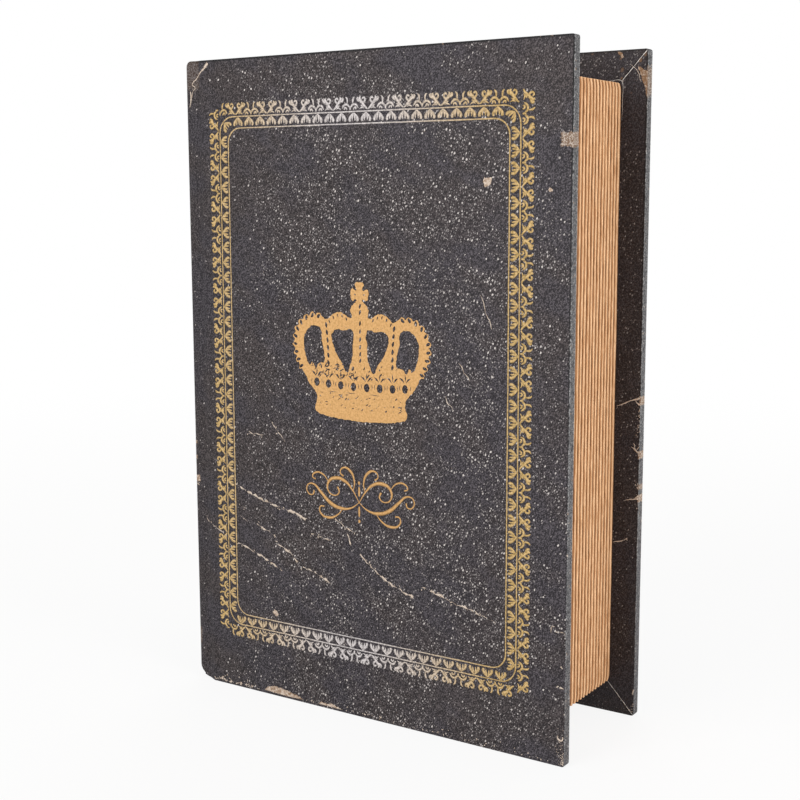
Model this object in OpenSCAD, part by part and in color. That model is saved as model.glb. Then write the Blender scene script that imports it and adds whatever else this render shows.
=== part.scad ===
// Book box: a storage box in the shape of a closed book that stands on its tail edges.
// +Z runs up the spine, +X points to the fore edge and -Y is the front cover's outer face.
// The origin is the middle of the footprint, on the surface that the box stands on.

/* [Overall] */
// Height of the covers, from tail to head
box_h = 300; // [220:1:400]
// Width from the crown of the spine to the fore edge of the covers
box_w = 206.5; // [150:0.5:280]
// Depth over both covers
box_d = 74; // [50:1:110]

/* [Cover boards] */
// Thickness of the front and back boards
board_t = 3; // [2:0.1:5]
// Radius of the covered boards' two corners at the fore edge
corner_r = 2.5; // [1.5:0.1:6]

/* [Leatherette] */
// Thickness of the leatherette that covers the boards
skin_t = 0.7; // [0.4:0.05:1.2]
// How far the leatherette is folded onto the inside of a board
turn_in = 24; // [21:0.5:35]

/* [Spine] */
// Rise of the spine's crown above its long edges
spine_bulge = 4; // [2:0.5:8]
// Thickness of the spine board at its long edges
spine_edge_t = 3; // [2.5:0.1:6]
// Radius of the covered spine's long edges
spine_edge_r = 3.5; // [1.5:0.1:3.7]
// Radius of the covered spine's corners at head and tail
spine_end_r = 3; // [1.5:0.1:5]
// Drop of the spine's long edges below the faces of the covers
joint_drop = 0.5; // [0.4:0.05:1]
// Width of the flexible joint between the spine and a cover board
joint_w = 4.8; // [4:0.1:8]
// Depth of the joint's groove below the faces of the covers
groove_depth = 0.8; // [0.6:0.05:1.1]

/* [Page block] */
// Overhang of the covers past the page block at the fore edge
fore_square = 11.8; // [6:0.1:14]
// Overhang of the covers past the page block at the head
head_square = 13.5; // [6:0.1:15]
// Overhang of the covers past the page block at the tail
tail_square = 14.2; // [6:0.1:15]
// Thickness of the sheet that the ribbed page paper is pressed from
wrap_t = 0.7; // [0.4:0.05:1.2]
// Thickness of the glue between the tray walls and the page paper
glue_t = 0.1; // [0.05:0.05:0.3]
// Distance from one rib to the next
rib_pitch = 2.95; // [2:0.05:6]
// Width of one rib where it leaves the sheet
rib_w = 2.5; // [1.5:0.05:5]
// Rise of the ribs above the sheet
rib_rise = 0.8; // [0.3:0.05:1]

/* [Tray] */
// Thickness of the four tray walls
wall_t = 5; // [4:0.1:6]
// Outer radius of the tray's two corners at the fore edge
wall_corner_r = 2.5; // [1:0.1:4]
// Thickness of the tray's floor
floor_t = 2; // [1.5:0.1:5]
// Gap between the rim of the tray and the lining of the closed cover
lid_gap = 0.3; // [0.2:0.05:0.8]

/* [Linings] */
// Thickness of the lining paper
paper_t = 0.4; // [0.2:0.05:0.8]
// Thickness of the panel that lines the tray's floor
floor_pad_t = 0.8; // [0.4:0.1:2]
// Margin of leatherette left round the lining inside the front cover
lining_margin = 8; // [4:0.5:18]

/* [Magnets] */
// Length of a closure magnet
magnet_l = 10; // [6:0.5:20]
// Width of a closure magnet
magnet_w = 3; // [2:0.1:3.5]
// Thickness of a closure magnet
magnet_t = 1.6; // [1:0.1:1.8]
// Distance of a magnet's middle from the head or the tail of the page block
magnet_inset = 55; // [20:1:90]

/* [Hidden] */

leather_colour = "#45434a";
board_colour = "#8f8676";
page_colour = "#d09a63";
paper_colour = "#2c2a2c";
steel_colour = "#b9bcc0";

// Fine enough for every round edge here
$fn = 64;
// Extra length of a tool that has to cut right through a face
cut = 1;

// Outer planes of the whole box
x_fore = box_w / 2;
x_crown = -box_w / 2;
y_front = -box_d / 2;
y_back = box_d / 2;

// Spine: a crowned arc with filleted long edges, cut flat on its inner face
x_spine_edge = x_crown + spine_bulge;
x_spine_in = x_spine_edge + skin_t + spine_edge_t;
spine_half = box_d / 2 - joint_drop;
spine_r = (pow(spine_half, 2) + pow(spine_bulge, 2)) / (2 * spine_bulge);
spine_cx = x_crown + spine_r;
fillet_y = spine_half - spine_edge_r;
fillet_x = spine_cx - sqrt(pow(spine_r - spine_edge_r, 2) - pow(fillet_y, 2));
// Flats along the spine's crown, an even number, and along each of its long edges
crown_steps = 24;
edge_steps = 6;

// Joint: the leatherette alone, between the spine and the edge of a covered board.
// The front cover turns about the middle of its joint, 0.15 mm behind the cover's face.
x_joint_end = x_spine_in + joint_w;
joint_out = box_d / 2 - groove_depth;
joint_in = joint_out - skin_t;

// Inner planes of the covers
cover_t = board_t + 2 * skin_t;
y_back_in = y_back - cover_t;
y_front_in = y_front + cover_t;
y_lining_in = y_front_in + paper_t;

// Tray: its rim lies just behind the closed front cover
y_rim_top = y_lining_in + lid_gap;
y_rim = y_rim_top + paper_t;
wrap_total = glue_t + wrap_t + rib_rise;
x_wall = x_fore - fore_square - wrap_total;
z_head = box_h - head_square - wrap_total;
z_tail = tail_square + wrap_total;
y_floor = y_back_in - floor_t;
y_pad = y_floor - floor_pad_t;

// Ribs of the page paper, centred between the rim and the back cover
rib_span = y_back_in - y_rim;
rib_count = floor(rib_span / rib_pitch);
rib_r = (pow(rib_w / 2, 2) + pow(rib_rise, 2)) / (2 * rib_rise);

// Closure magnets stand over the middle of the fore-edge wall
magnet_x = x_wall - wall_t / 2;
magnet_z = [tail_square + magnet_inset, box_h - head_square - magnet_inset];

// Rectangle from corner a to corner b whose two corners at the fore edge have radius r
module fore_rounded_2d(a, b, r) {
    translate(a)
        square([b[0] - r - a[0], b[1] - a[1]]);
    translate([a[0], a[1] + r])
        square([b[0] - a[0], b[1] - a[1] - 2 * r]);
    for (z = [a[1] + r, b[1] - r])
        translate([b[0] - r, z])
            circle(r = r);
}

// Plate drawn in X and Z that runs from y0 to y1
module plate(y0, y1) {
    translate([0, y1, 0])
        rotate([90, 0, 0])
            linear_extrude(height = y1 - y0)
                children();
}

// Block between two corners
module block(a, b) {
    translate(a)
        cube(b - a);
}

// Points along an arc round centre c, from angle a0 to angle a1
function arc(c, r, a0, a1, steps) =
    [for (i = [0 : steps])
        let (a = a0 + (a1 - a0) * i / steps)
        c + r * [cos(a), sin(a)]];

// Cross-section of the spine, drawn in from its outer surface by inset
module spine_2d(inset) {
    half = spine_half - inset;
    turn = asin(fillet_y / (spine_r - spine_edge_r));
    edge_r = spine_edge_r - inset;
    polygon(concat(
        [[x_spine_in, half], [x_spine_in, -half]],
        arc([fillet_x, -fillet_y], edge_r, 270, 180 + turn, edge_steps),
        arc([spine_cx, 0], spine_r - inset, 180 + turn, 180 - turn, crown_steps),
        arc([fillet_x, fillet_y], edge_r, 180 - turn, 90, edge_steps)
    ));
}

// Spine body with its ends rounded, drawn in by inset on every outer side
module spine_body(inset) {
    reach = spine_end_r - inset;
    intersection() {
        translate([0, 0, inset])
            linear_extrude(height = box_h - 2 * inset)
                spine_2d(inset);
        mirror([1, 0, 0])
            plate(y_front - cut, y_back + cut)
                fore_rounded_2d([-x_spine_in, inset], [-x_crown - inset, box_h - inset], reach);
    }
}

// Outline of a cover board in X and Z, drawn in from its covered outline by inset
module cover_2d(inset) {
    fore_rounded_2d([x_joint_end + inset, inset], [x_fore - inset, box_h - inset],
                    corner_r - inset);
}

// Window that the turn-ins leave open on the inside of a board
module window_2d() {
    translate([x_joint_end, turn_in])
        square([x_fore - turn_in - x_joint_end, box_h - 2 * turn_in]);
}

// Board and leatherette of one cover, drawn as the back cover
module cover_board() {
    plate(y_back_in + skin_t, y_back - skin_t)
        cover_2d(skin_t);
}

module cover_skin() {
    difference() {
        plate(y_back_in, y_back)
            cover_2d(0);
        cover_board();
        plate(y_back_in - cut, y_back_in + skin_t)
            window_2d();
    }
}

// Bar magnets with their middles in the plane between y0 and y0 + magnet_t
module magnets(y0) {
    for (z = magnet_z)
        block([magnet_x - magnet_w / 2, y0, z - magnet_l / 2],
              [magnet_x + magnet_w / 2, y0 + magnet_t, z + magnet_l / 2]);
}

// Front cover's board, with pockets for the magnets in its inner face
module front_board() {
    color(board_colour)
        difference() {
            mirror([0, 1, 0])
                cover_board();
            magnets(y_front_in - skin_t - magnet_t);
        }
}

// Leatherette of the front cover: outer face, edges and turn-ins in one piece
module front_covering() {
    color(leather_colour)
        mirror([0, 1, 0])
            cover_skin();
}

// Paper that lines the front cover: it fills the window and laps onto the turn-ins
module front_lining() {
    color(paper_colour) {
        plate(y_front_in - skin_t, y_lining_in)
            window_2d();
        plate(y_front_in, y_lining_in)
            translate([x_joint_end, lining_margin])
                square([x_fore - lining_margin - x_joint_end, box_h - 2 * lining_margin]);
    }
}

// Two bar magnets in the front board, behind the turn-in
module lid_magnets() {
    color(steel_colour)
        magnets(y_front_in - skin_t - magnet_t);
}

// Leatherette that bends when the cover opens
module joint_strip() {
    color(leather_colour)
        block([x_spine_in, -joint_out, 0], [x_joint_end, -joint_in, box_h]);
}

// Paper hinge glued along the spine board and behind the leatherette joint
module joint_lining() {
    color(paper_colour) {
        block([x_spine_in, -joint_in, tail_square],
              [x_joint_end, -joint_in + paper_t, box_h - head_square]);
        block([x_spine_in, -joint_in, tail_square],
              [x_spine_in + paper_t, y_rim_top, box_h - head_square]);
    }
}

// Crowned spine board, flat on the inside where the tray is glued to it
module spine_board() {
    color(board_colour)
        spine_body(skin_t);
}

// Leatherette over the spine, folded over its head and tail onto the inner face
module spine_covering() {
    color(leather_colour) {
        difference() {
            spine_body(0);
            spine_body(skin_t);
        }
        spine_fold(0, tail_square, 0);
        spine_fold(box_h - head_square, box_h, box_h - skin_t);
    }
}

// Leatherette folded over one end of the spine board: z_end is the underside of the fold
module spine_fold(z0, z1, z_end) {
    block([x_spine_in, -joint_in, z0], [x_spine_in + skin_t, joint_in, z1]);
    block([x_spine_in - skin_t, -joint_in, z_end], [x_spine_in + skin_t, joint_in, z_end + skin_t]);
}

// Back cover's board
module back_board() {
    color(board_colour)
        cover_board();
}

// Leatherette of the back cover, with the fixed joint that runs on to the spine
module back_covering() {
    color(leather_colour) {
        cover_skin();
        block([x_spine_in, joint_in, 0], [x_joint_end + skin_t / 2, joint_out, box_h]);
    }
}

// Tray wall behind the ribbed fore edge, with the tray's two rounded corners
module fore_edge_wall() {
    color(board_colour)
        difference() {
            plate(y_rim, y_back_in)
                fore_rounded_2d([x_wall - wall_t, z_tail], [x_wall, z_head], wall_corner_r);
            magnets(y_rim);
        }
}

// Tray wall at the head
module head_wall() {
    color(board_colour)
        block([x_spine_in, y_rim, z_head - wall_t], [x_wall - wall_t, y_back_in, z_head]);
}

// Tray wall at the tail
module tail_wall() {
    color(board_colour)
        block([x_spine_in, y_rim, z_tail], [x_wall - wall_t, y_back_in, z_tail + wall_t]);
}

// Tray wall that is glued to the spine board
module spine_wall() {
    color(board_colour)
        block([x_spine_in, y_rim, z_tail + wall_t],
              [x_spine_in + wall_t, y_back_in, z_head - wall_t]);
}

// Floor board between the four walls, glued to the back cover
module tray_floor() {
    color(board_colour)
        block([x_spine_in + wall_t, y_floor, z_tail + wall_t],
              [x_wall - wall_t, y_back_in, z_head - wall_t]);
}

// Cross-section of the page paper: X is the distance from the wall, Y is the box's Y
module wrap_2d() {
    translate([glue_t, y_rim])
        square([wrap_t, rib_span]);
    intersection() {
        translate([glue_t + wrap_t / 2, y_rim])
            square([wrap_total, rib_span]);
        for (i = [0 : rib_count - 1])
            translate([wrap_total - rib_r, y_rim + rib_span / 2 + (i - (rib_count - 1) / 2) * rib_pitch])
                circle(r = rib_r);
    }
}

// Ribbed paper round the head, the fore edge and the tail of the tray
module page_wrap() {
    run = x_wall - wall_corner_r - x_spine_in;
    color(page_colour) {
        translate([x_wall, 0, z_tail + wall_corner_r])
            linear_extrude(height = z_head - z_tail - 2 * wall_corner_r)
                wrap_2d();
        translate([x_wall - wall_corner_r, 0, z_head])
            rotate([0, -90, 0])
                linear_extrude(height = run)
                    wrap_2d();
        translate([x_spine_in, 0, z_tail])
            rotate([0, 90, 0])
                linear_extrude(height = run)
                    wrap_2d();
        translate([x_wall - wall_corner_r, 0, z_tail + wall_corner_r])
            wrap_corner();
        translate([x_wall - wall_corner_r, 0, z_head - wall_corner_r])
            mirror([0, 0, 1])
                wrap_corner();
    }
}

// Quarter turn of the page paper from the fore edge to the tail
module wrap_corner() {
    rotate([-90, 0, 0])
        rotate_extrude(angle = 90)
            translate([wall_corner_r, 0])
                wrap_2d();
}

// Paper glued over the rim of the tray
module rim_paper() {
    inner = wall_t + paper_t;
    sheet_out = glue_t + wrap_t;
    color(paper_colour)
        plate(y_rim_top, y_rim)
            difference() {
                fore_rounded_2d([x_spine_in, z_tail - sheet_out],
                                [x_wall + sheet_out, z_head + sheet_out],
                                wall_corner_r + sheet_out);
                translate([x_spine_in + inner, z_tail + inner])
                    square([x_wall - x_spine_in - 2 * inner, z_head - z_tail - 2 * inner]);
            }
}

// Paper that lines the four walls of the tray
module wall_lining() {
    color(paper_colour)
        difference() {
            block([x_spine_in + wall_t, y_rim, z_tail + wall_t],
                  [x_wall - wall_t, y_floor, z_head - wall_t]);
            block([x_spine_in + wall_t + paper_t, y_rim - cut, z_tail + wall_t + paper_t],
                  [x_wall - wall_t - paper_t, y_floor + cut, z_head - wall_t - paper_t]);
        }
}

// Panel that lines the floor of the tray
module floor_lining() {
    inner = wall_t + paper_t;
    color(paper_colour)
        block([x_spine_in + inner, y_pad, z_tail + inner],
              [x_wall - inner, y_floor, z_head - inner]);
}

// Two bar magnets set into the rim of the fore-edge wall
module tray_magnets() {
    color(steel_colour)
        magnets(y_rim);
}

front_board();
front_covering();
front_lining();
lid_magnets();
joint_strip();
joint_lining();
spine_board();
spine_covering();
back_board();
back_covering();
fore_edge_wall();
head_wall();
tail_wall();
spine_wall();
tray_floor();
page_wrap();
rim_paper();
wall_lining();
floor_lining();
tray_magnets();
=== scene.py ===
"""A book box: a storage box made like a closed book that stands on its tail edges.

The box is put together here in the order in which it is made: covers, spine, joints, page block,
linings, and last the print and the wear on the leatherette. Sizes are in millimetres.
"""

import math
import random
from functools import partial

import bmesh
import bpy
from bmesh.types import BMEdge, BMFace, BMVert
from mathutils import Matrix, Vector, noise


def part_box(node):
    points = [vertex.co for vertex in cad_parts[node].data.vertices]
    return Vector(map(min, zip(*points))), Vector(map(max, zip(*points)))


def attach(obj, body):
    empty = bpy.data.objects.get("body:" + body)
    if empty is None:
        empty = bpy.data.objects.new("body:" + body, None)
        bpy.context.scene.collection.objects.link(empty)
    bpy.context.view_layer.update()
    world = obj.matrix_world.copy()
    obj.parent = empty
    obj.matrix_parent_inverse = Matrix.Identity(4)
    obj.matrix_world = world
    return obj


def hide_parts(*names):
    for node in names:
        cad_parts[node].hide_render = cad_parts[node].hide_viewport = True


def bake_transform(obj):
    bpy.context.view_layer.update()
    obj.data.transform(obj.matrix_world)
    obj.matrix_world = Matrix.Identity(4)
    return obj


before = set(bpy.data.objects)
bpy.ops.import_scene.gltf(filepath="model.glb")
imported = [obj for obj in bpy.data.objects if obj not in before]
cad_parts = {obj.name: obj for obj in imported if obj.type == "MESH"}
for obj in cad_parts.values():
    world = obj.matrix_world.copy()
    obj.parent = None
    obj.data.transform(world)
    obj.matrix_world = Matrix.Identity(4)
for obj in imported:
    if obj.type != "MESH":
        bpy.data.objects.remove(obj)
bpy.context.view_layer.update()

# Camera. It stands to the right of the box and a little above its middle, as a product
# photographer's does, and was fitted to the outline of the covers in the 800 x 800 photograph.
MM = 0.001
IMAGE_SIZE_PX = 800
FOCAL_LENGTH_PX = 1386.2
SENSOR_WIDTH_MM = 36.0
CAMERA_FROM_COVER_CORNER_MM = Vector((251.1, -497.3, 238.6))
CAMERA_YAW = 0.5901
CAMERA_PITCH = -0.1478
CAMERA_ROLL = -0.0030


def box_mm(node):
    """Lowest and highest corner of a CAD node, in millimetres."""
    low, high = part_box(node)
    return low / MM, high / MM


def add_object(name, data):
    """Adds an object with its data to the scene."""
    added = bpy.data.objects.new(name, data)
    scene.collection.objects.link(added)
    return added


scene = bpy.context.scene
cover_low, cover_high = box_mm("front_covering")
cover_corner = Vector((cover_high.x, cover_low.y, cover_low.z))
camera_data = bpy.data.cameras.new("camera")
camera_data.sensor_width = SENSOR_WIDTH_MM
camera_data.lens = SENSOR_WIDTH_MM * FOCAL_LENGTH_PX / IMAGE_SIZE_PX
camera_data.clip_start = 0.02
camera = add_object("camera", camera_data)
camera.matrix_world = (
    Matrix.Translation((cover_corner + CAMERA_FROM_COVER_CORNER_MM) * MM)
    @ Matrix.Rotation(CAMERA_YAW, 4, "Z")
    @ Matrix.Rotation(math.pi / 2 + CAMERA_PITCH, 4, "X")
    @ Matrix.Rotation(CAMERA_ROLL, 4, "Z")
)
scene.camera = camera
scene.view_settings.view_transform = "Standard"


# Studio: a white surround, a large soft lamp in front, a second one on the right that lights the
# page block, a third behind, and a plain pale floor that keeps the box's shadow.
AMBIENT = 0.5
FLOOR_RADIUS = 4.0
FLOOR_FADE_START, FLOOR_FADE_END = 0.3, 1.2
FLOOR_WHITE_NEAR = 0.88
SMOOTH = {"interpolation_type": "SMOOTHSTEP"}


def linear(hex_colour):
    """An sRGB hex colour as linear red, green, blue and alpha."""
    channels = [int(hex_colour[i : i + 2], 16) / 255 for i in (1, 3, 5)]
    curve = [c / 12.92 if c <= 0.04045 else ((c + 0.055) / 1.055) ** 2.4 for c in channels]
    return (*curve, 1.0)


def add_node(tree, kind, inputs=(), output=0, **settings):
    """Adds a node with its settings, sets or links its inputs and returns one of its outputs. The
    inputs are given by name or in the node's own order, which for a map range is the value, the
    two ends that it is measured between and the two that it is turned into."""
    node = tree.nodes.new("ShaderNode" + kind)
    for name, value in settings.items():
        setattr(node, name, value)
    for name, value in inputs.items() if isinstance(inputs, dict) else enumerate(inputs):
        if isinstance(value, bpy.types.NodeSocket):
            tree.links.new(value, node.inputs[name])
        else:
            node.inputs[name].default_value = value
    return node.outputs[output] if node.outputs else None


def new_material(name):
    """A material with an empty node tree, and the function that adds a node to it."""
    material = bpy.data.materials.new(name)
    material.use_nodes = True
    material.node_tree.nodes.clear()
    return material, partial(add_node, material.node_tree)


def seen_rays(add):
    """1 for the rays that show the background itself: camera, glossy and transmission rays."""
    ray = add("LightPath").node.outputs
    seen = add("Math", (ray["Is Camera Ray"], ray["Is Glossy Ray"]), operation="MAXIMUM")
    return add("Math", (seen, ray["Is Transmission Ray"]), operation="MAXIMUM")


world = bpy.data.worlds.new("studio")
scene.world = world
world.use_nodes = True
world.node_tree.nodes.clear()
add = partial(add_node, world.node_tree)
strength = add("MapRange", (seen_rays(add), 0, 1, AMBIENT))
surround = add("Background", {"Color": linear("#ffffff"), "Strength": strength})
add("OutputWorld", {"Surface": surround})


def add_lamp(name, place, aim, size, power):
    """A square area lamp at a place, turned to the point that it lights. Metres and watts."""
    data = bpy.data.lights.new(name, "AREA")
    data.size = size
    data.energy = power
    lamp = add_object(name, data)
    lamp.location = place
    lamp.rotation_euler = (Vector(aim) - Vector(place)).to_track_quat("-Z", "Y").to_euler()


BOX_MIDDLE = (0.0, 0.0, 0.15)
add_lamp("key_lamp", (-0.4, -1.55, 0.8), BOX_MIDDLE, 1.0, 16.5)
add_lamp("side_lamp", (1.6, -0.25, 0.6), BOX_MIDDLE, 0.9, 13.2)
add_lamp("back_lamp", (-0.6, 1.4, 1.1), BOX_MIDDLE, 1.2, 9.0)

floor_material, add = new_material("pale_studio_floor")
distance = add("VectorMath", (add("TexCoord", output="Object"),), "Value", operation="LENGTH")
whiteness = add("MapRange", (distance, FLOOR_FADE_START, FLOOR_FADE_END, FLOOR_WHITE_NEAR), **SMOOTH)
shown = add("Math", (whiteness, seen_rays(add)), operation="MULTIPLY")
matte = add("BsdfDiffuse", {"Color": linear("#f1f0ee")})
white = add("Emission", {"Color": linear("#ffffff"), "Strength": 1.0})
add("OutputMaterial", {"Surface": add("MixShader", (shown, matte, white))})

bm = bmesh.new()
bmesh.ops.create_circle(bm, cap_ends=True, radius=FLOOR_RADIUS, segments=96)
floor_mesh = bpy.data.meshes.new("floor")
bm.to_mesh(floor_mesh)
bm.free()
floor_mesh.materials.append(floor_material)
add_object("floor", floor_mesh)


# Leatherette. A polyurethane skin on a paper backing, embossed with a fine calf grain and printed
# as an old binding: a charcoal ground that clouds from blue to brown, rubbed pale in thousands of
# small specks that gather in drifts, and worn through along the edges of the boards.
RGBA = {"output": 2, "data_type": "RGBA"}
GRAIN_MM = 0.95
GRAIN_HEIGHT_MM = 0.1
GRAIN_IN_TONE = 0.16
MOTTLE_MM = 0.6
CLOUD_MM = 42.0
DRIFT_MM = 13.0
CREASES_MM = 5.0
RAGGED_MM = 2.2
DRIFT_SLANT = math.radians(30)
SPECK_SLANT = math.radians(-62)
FORE_EDGE_STAND_OFF = 0.4
EDGE_WEAR_MM = 0.3
FRAY_MM = 1.6
LOW_BLUE, LOW_BROWN = linear("#1d1a1e"), linear("#211b1a")
HIGH_BLUE, HIGH_BROWN = linear("#585358"), linear("#5b5352")
# Pale greys of the fore edges: rubbed wear and a painted highlight.
EDGE_WEAR_AND_HIGHLIGHT_DARK, EDGE_WEAR_AND_HIGHLIGHT_PALE = linear("#58585a"), linear("#a09f9f")
# Painted shade in the creases beside the rims.
CREASE_PAINTED_SHADE = linear("#121113")
# Painted shade for the turn-ins inside the covers, darker and browner.
TURN_IN_PAINTED_SHADE = linear("#231a17")
BACKING_CREAM = linear("#d4c4b5")
BACKING_BROWN = linear("#84664c")
# Specks, each tier with its cell in millimetres, its radius and its share of the cells.
SPECK_TIERS = ((0.98, 0.33, 0.9, "#9b9493"), (1.35, 0.31, 1.1, "#bab2af"),
               (1.8, 0.25, 0.75, "#d2cac6"))
FLECK_MM, FLECK_RADIUS, FLECK_TAN = 2.6, 0.34, linear("#8a6a50")
# Patches where the print is rubbed off: centre, half size and strength.
BARE_PATCHES = (
    ((101.6, -35.0, 259.5), (3.6, 6.0, 2.9), 0.68),
    ((103.9, 34.0, 286.0), (0.9, 5.0, 6.5), 0.5),
    ((103.9, 34.0, 146.9), (0.9, 5.0, 2.1), 0.85),
    ((103.9, 34.0, 122.4), (0.9, 5.0, 1.8), 0.85),
    ((103.9, 34.0, 107.6), (0.9, 5.0, 1.3), 0.7),
    ((103.9, 34.0, 102.5), (0.9, 5.0, 1.9), 0.85),
    ((-99.2, -36.0, 119.3), (1.2, 5.0, 0.8), 0.8),
    ((-99.2, -36.0, 111.8), (1.2, 5.0, 0.9), 0.8),
    ((-96.5, -36.0, 294.0), (5.5, 5.0, 7.5), 0.14),
    ((-98.6, -36.0, 101.4), (2.0, 5.0, 1.6), 0.9),
    ((-99.0, -36.0, 22.0), (1.2, 5.0, 5.0), 0.25),
)


def millimetre_place(add, attribute=None):
    """Place on the piece in millimetres, from Object coordinates or from a stored rest place."""
    if attribute:
        source = add("Attribute", output="Vector", attribute_name=attribute)
    else:
        source = add("TexCoord", output="Object")
    return add("VectorMath", {0: source, "Scale": 1 / MM}, operation="SCALE")


def specks(add, place, share, size_mm, radius):
    """Small ragged spots, at most one to a cell, each of its own size and strength, and a dark
    ring of painted shade round each of them, standing in for the shadow of the embossing."""
    wobble = add("TexNoise", {"Vector": place, "Scale": 2.2, "Detail": 1.0}, "Color")
    bent = add("VectorMath", (wobble, (0.6, 0.6, 0.6), place), operation="MULTIPLY_ADD")
    cell = add("TexVoronoi", {"Vector": bent, "Scale": 1 / size_mm, "Randomness": 0.6})
    cell = cell.node.outputs
    chance = add("SeparateColor", (cell["Color"],)).node.outputs
    kept = add("Math", (chance["Red"], share), operation="LESS_THAN")
    reach = add("Math", (chance["Green"], 0.55 * radius, 0.6 * radius), operation="MULTIPLY_ADD")
    inside = add("Math", (reach, cell["Distance"]), operation="SUBTRACT")
    body = add("MapRange", (inside, 0, 0.12), **SMOOTH)
    strength = add("MapRange", (chance["Blue"], 0, 1, 0.6))
    spot = add("Math", (body, kept), operation="MULTIPLY")
    spot = add("Math", (spot, strength), operation="MULTIPLY")
    # The ring is painted shade round the speck.
    ring = add("MapRange", (inside, -0.32, -0.04, 0, 0.42), **SMOOTH)
    return spot, add("Math", (ring, kept), operation="MULTIPLY")


def bare_patch(add, place, ragged, centre, half_size, strength):
    """A patch whose print is rubbed off: a box about its centre with a ragged outline."""
    offset = add("VectorMath", (place, centre), operation="SUBTRACT")
    scaled = add("VectorMath", (offset, half_size), operation="DIVIDE")
    scaled = add("VectorMath", (scaled,), operation="ABSOLUTE")
    apart = add("SeparateXYZ", (scaled,)).node.outputs
    across = add("Math", (apart["X"], apart["Y"]), operation="MAXIMUM")
    size = add("Math", (across, apart["Z"]), operation="MAXIMUM")
    edge = add("Math", (ragged, 1.3, size), operation="MULTIPLY_ADD")
    return add("MapRange", (edge, 1.68, 1.5, 0, strength), **SMOOTH)


def finish_surface(add, colour, relief, strength, depth_mm, gloss, shader):
    """Closes a material: a bump from its relief, a roughness, given as a range of the grain, and
    the shader with its constants."""
    bump = add("Bump", {"Height": relief, "Strength": strength, "Distance": depth_mm * MM})
    rough = add("MapRange", gloss)
    surface = add("BsdfPrincipled", {"Base Color": colour, "Roughness": rough, "Normal": bump, **shader})
    add("OutputMaterial", {"Surface": surface})


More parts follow.
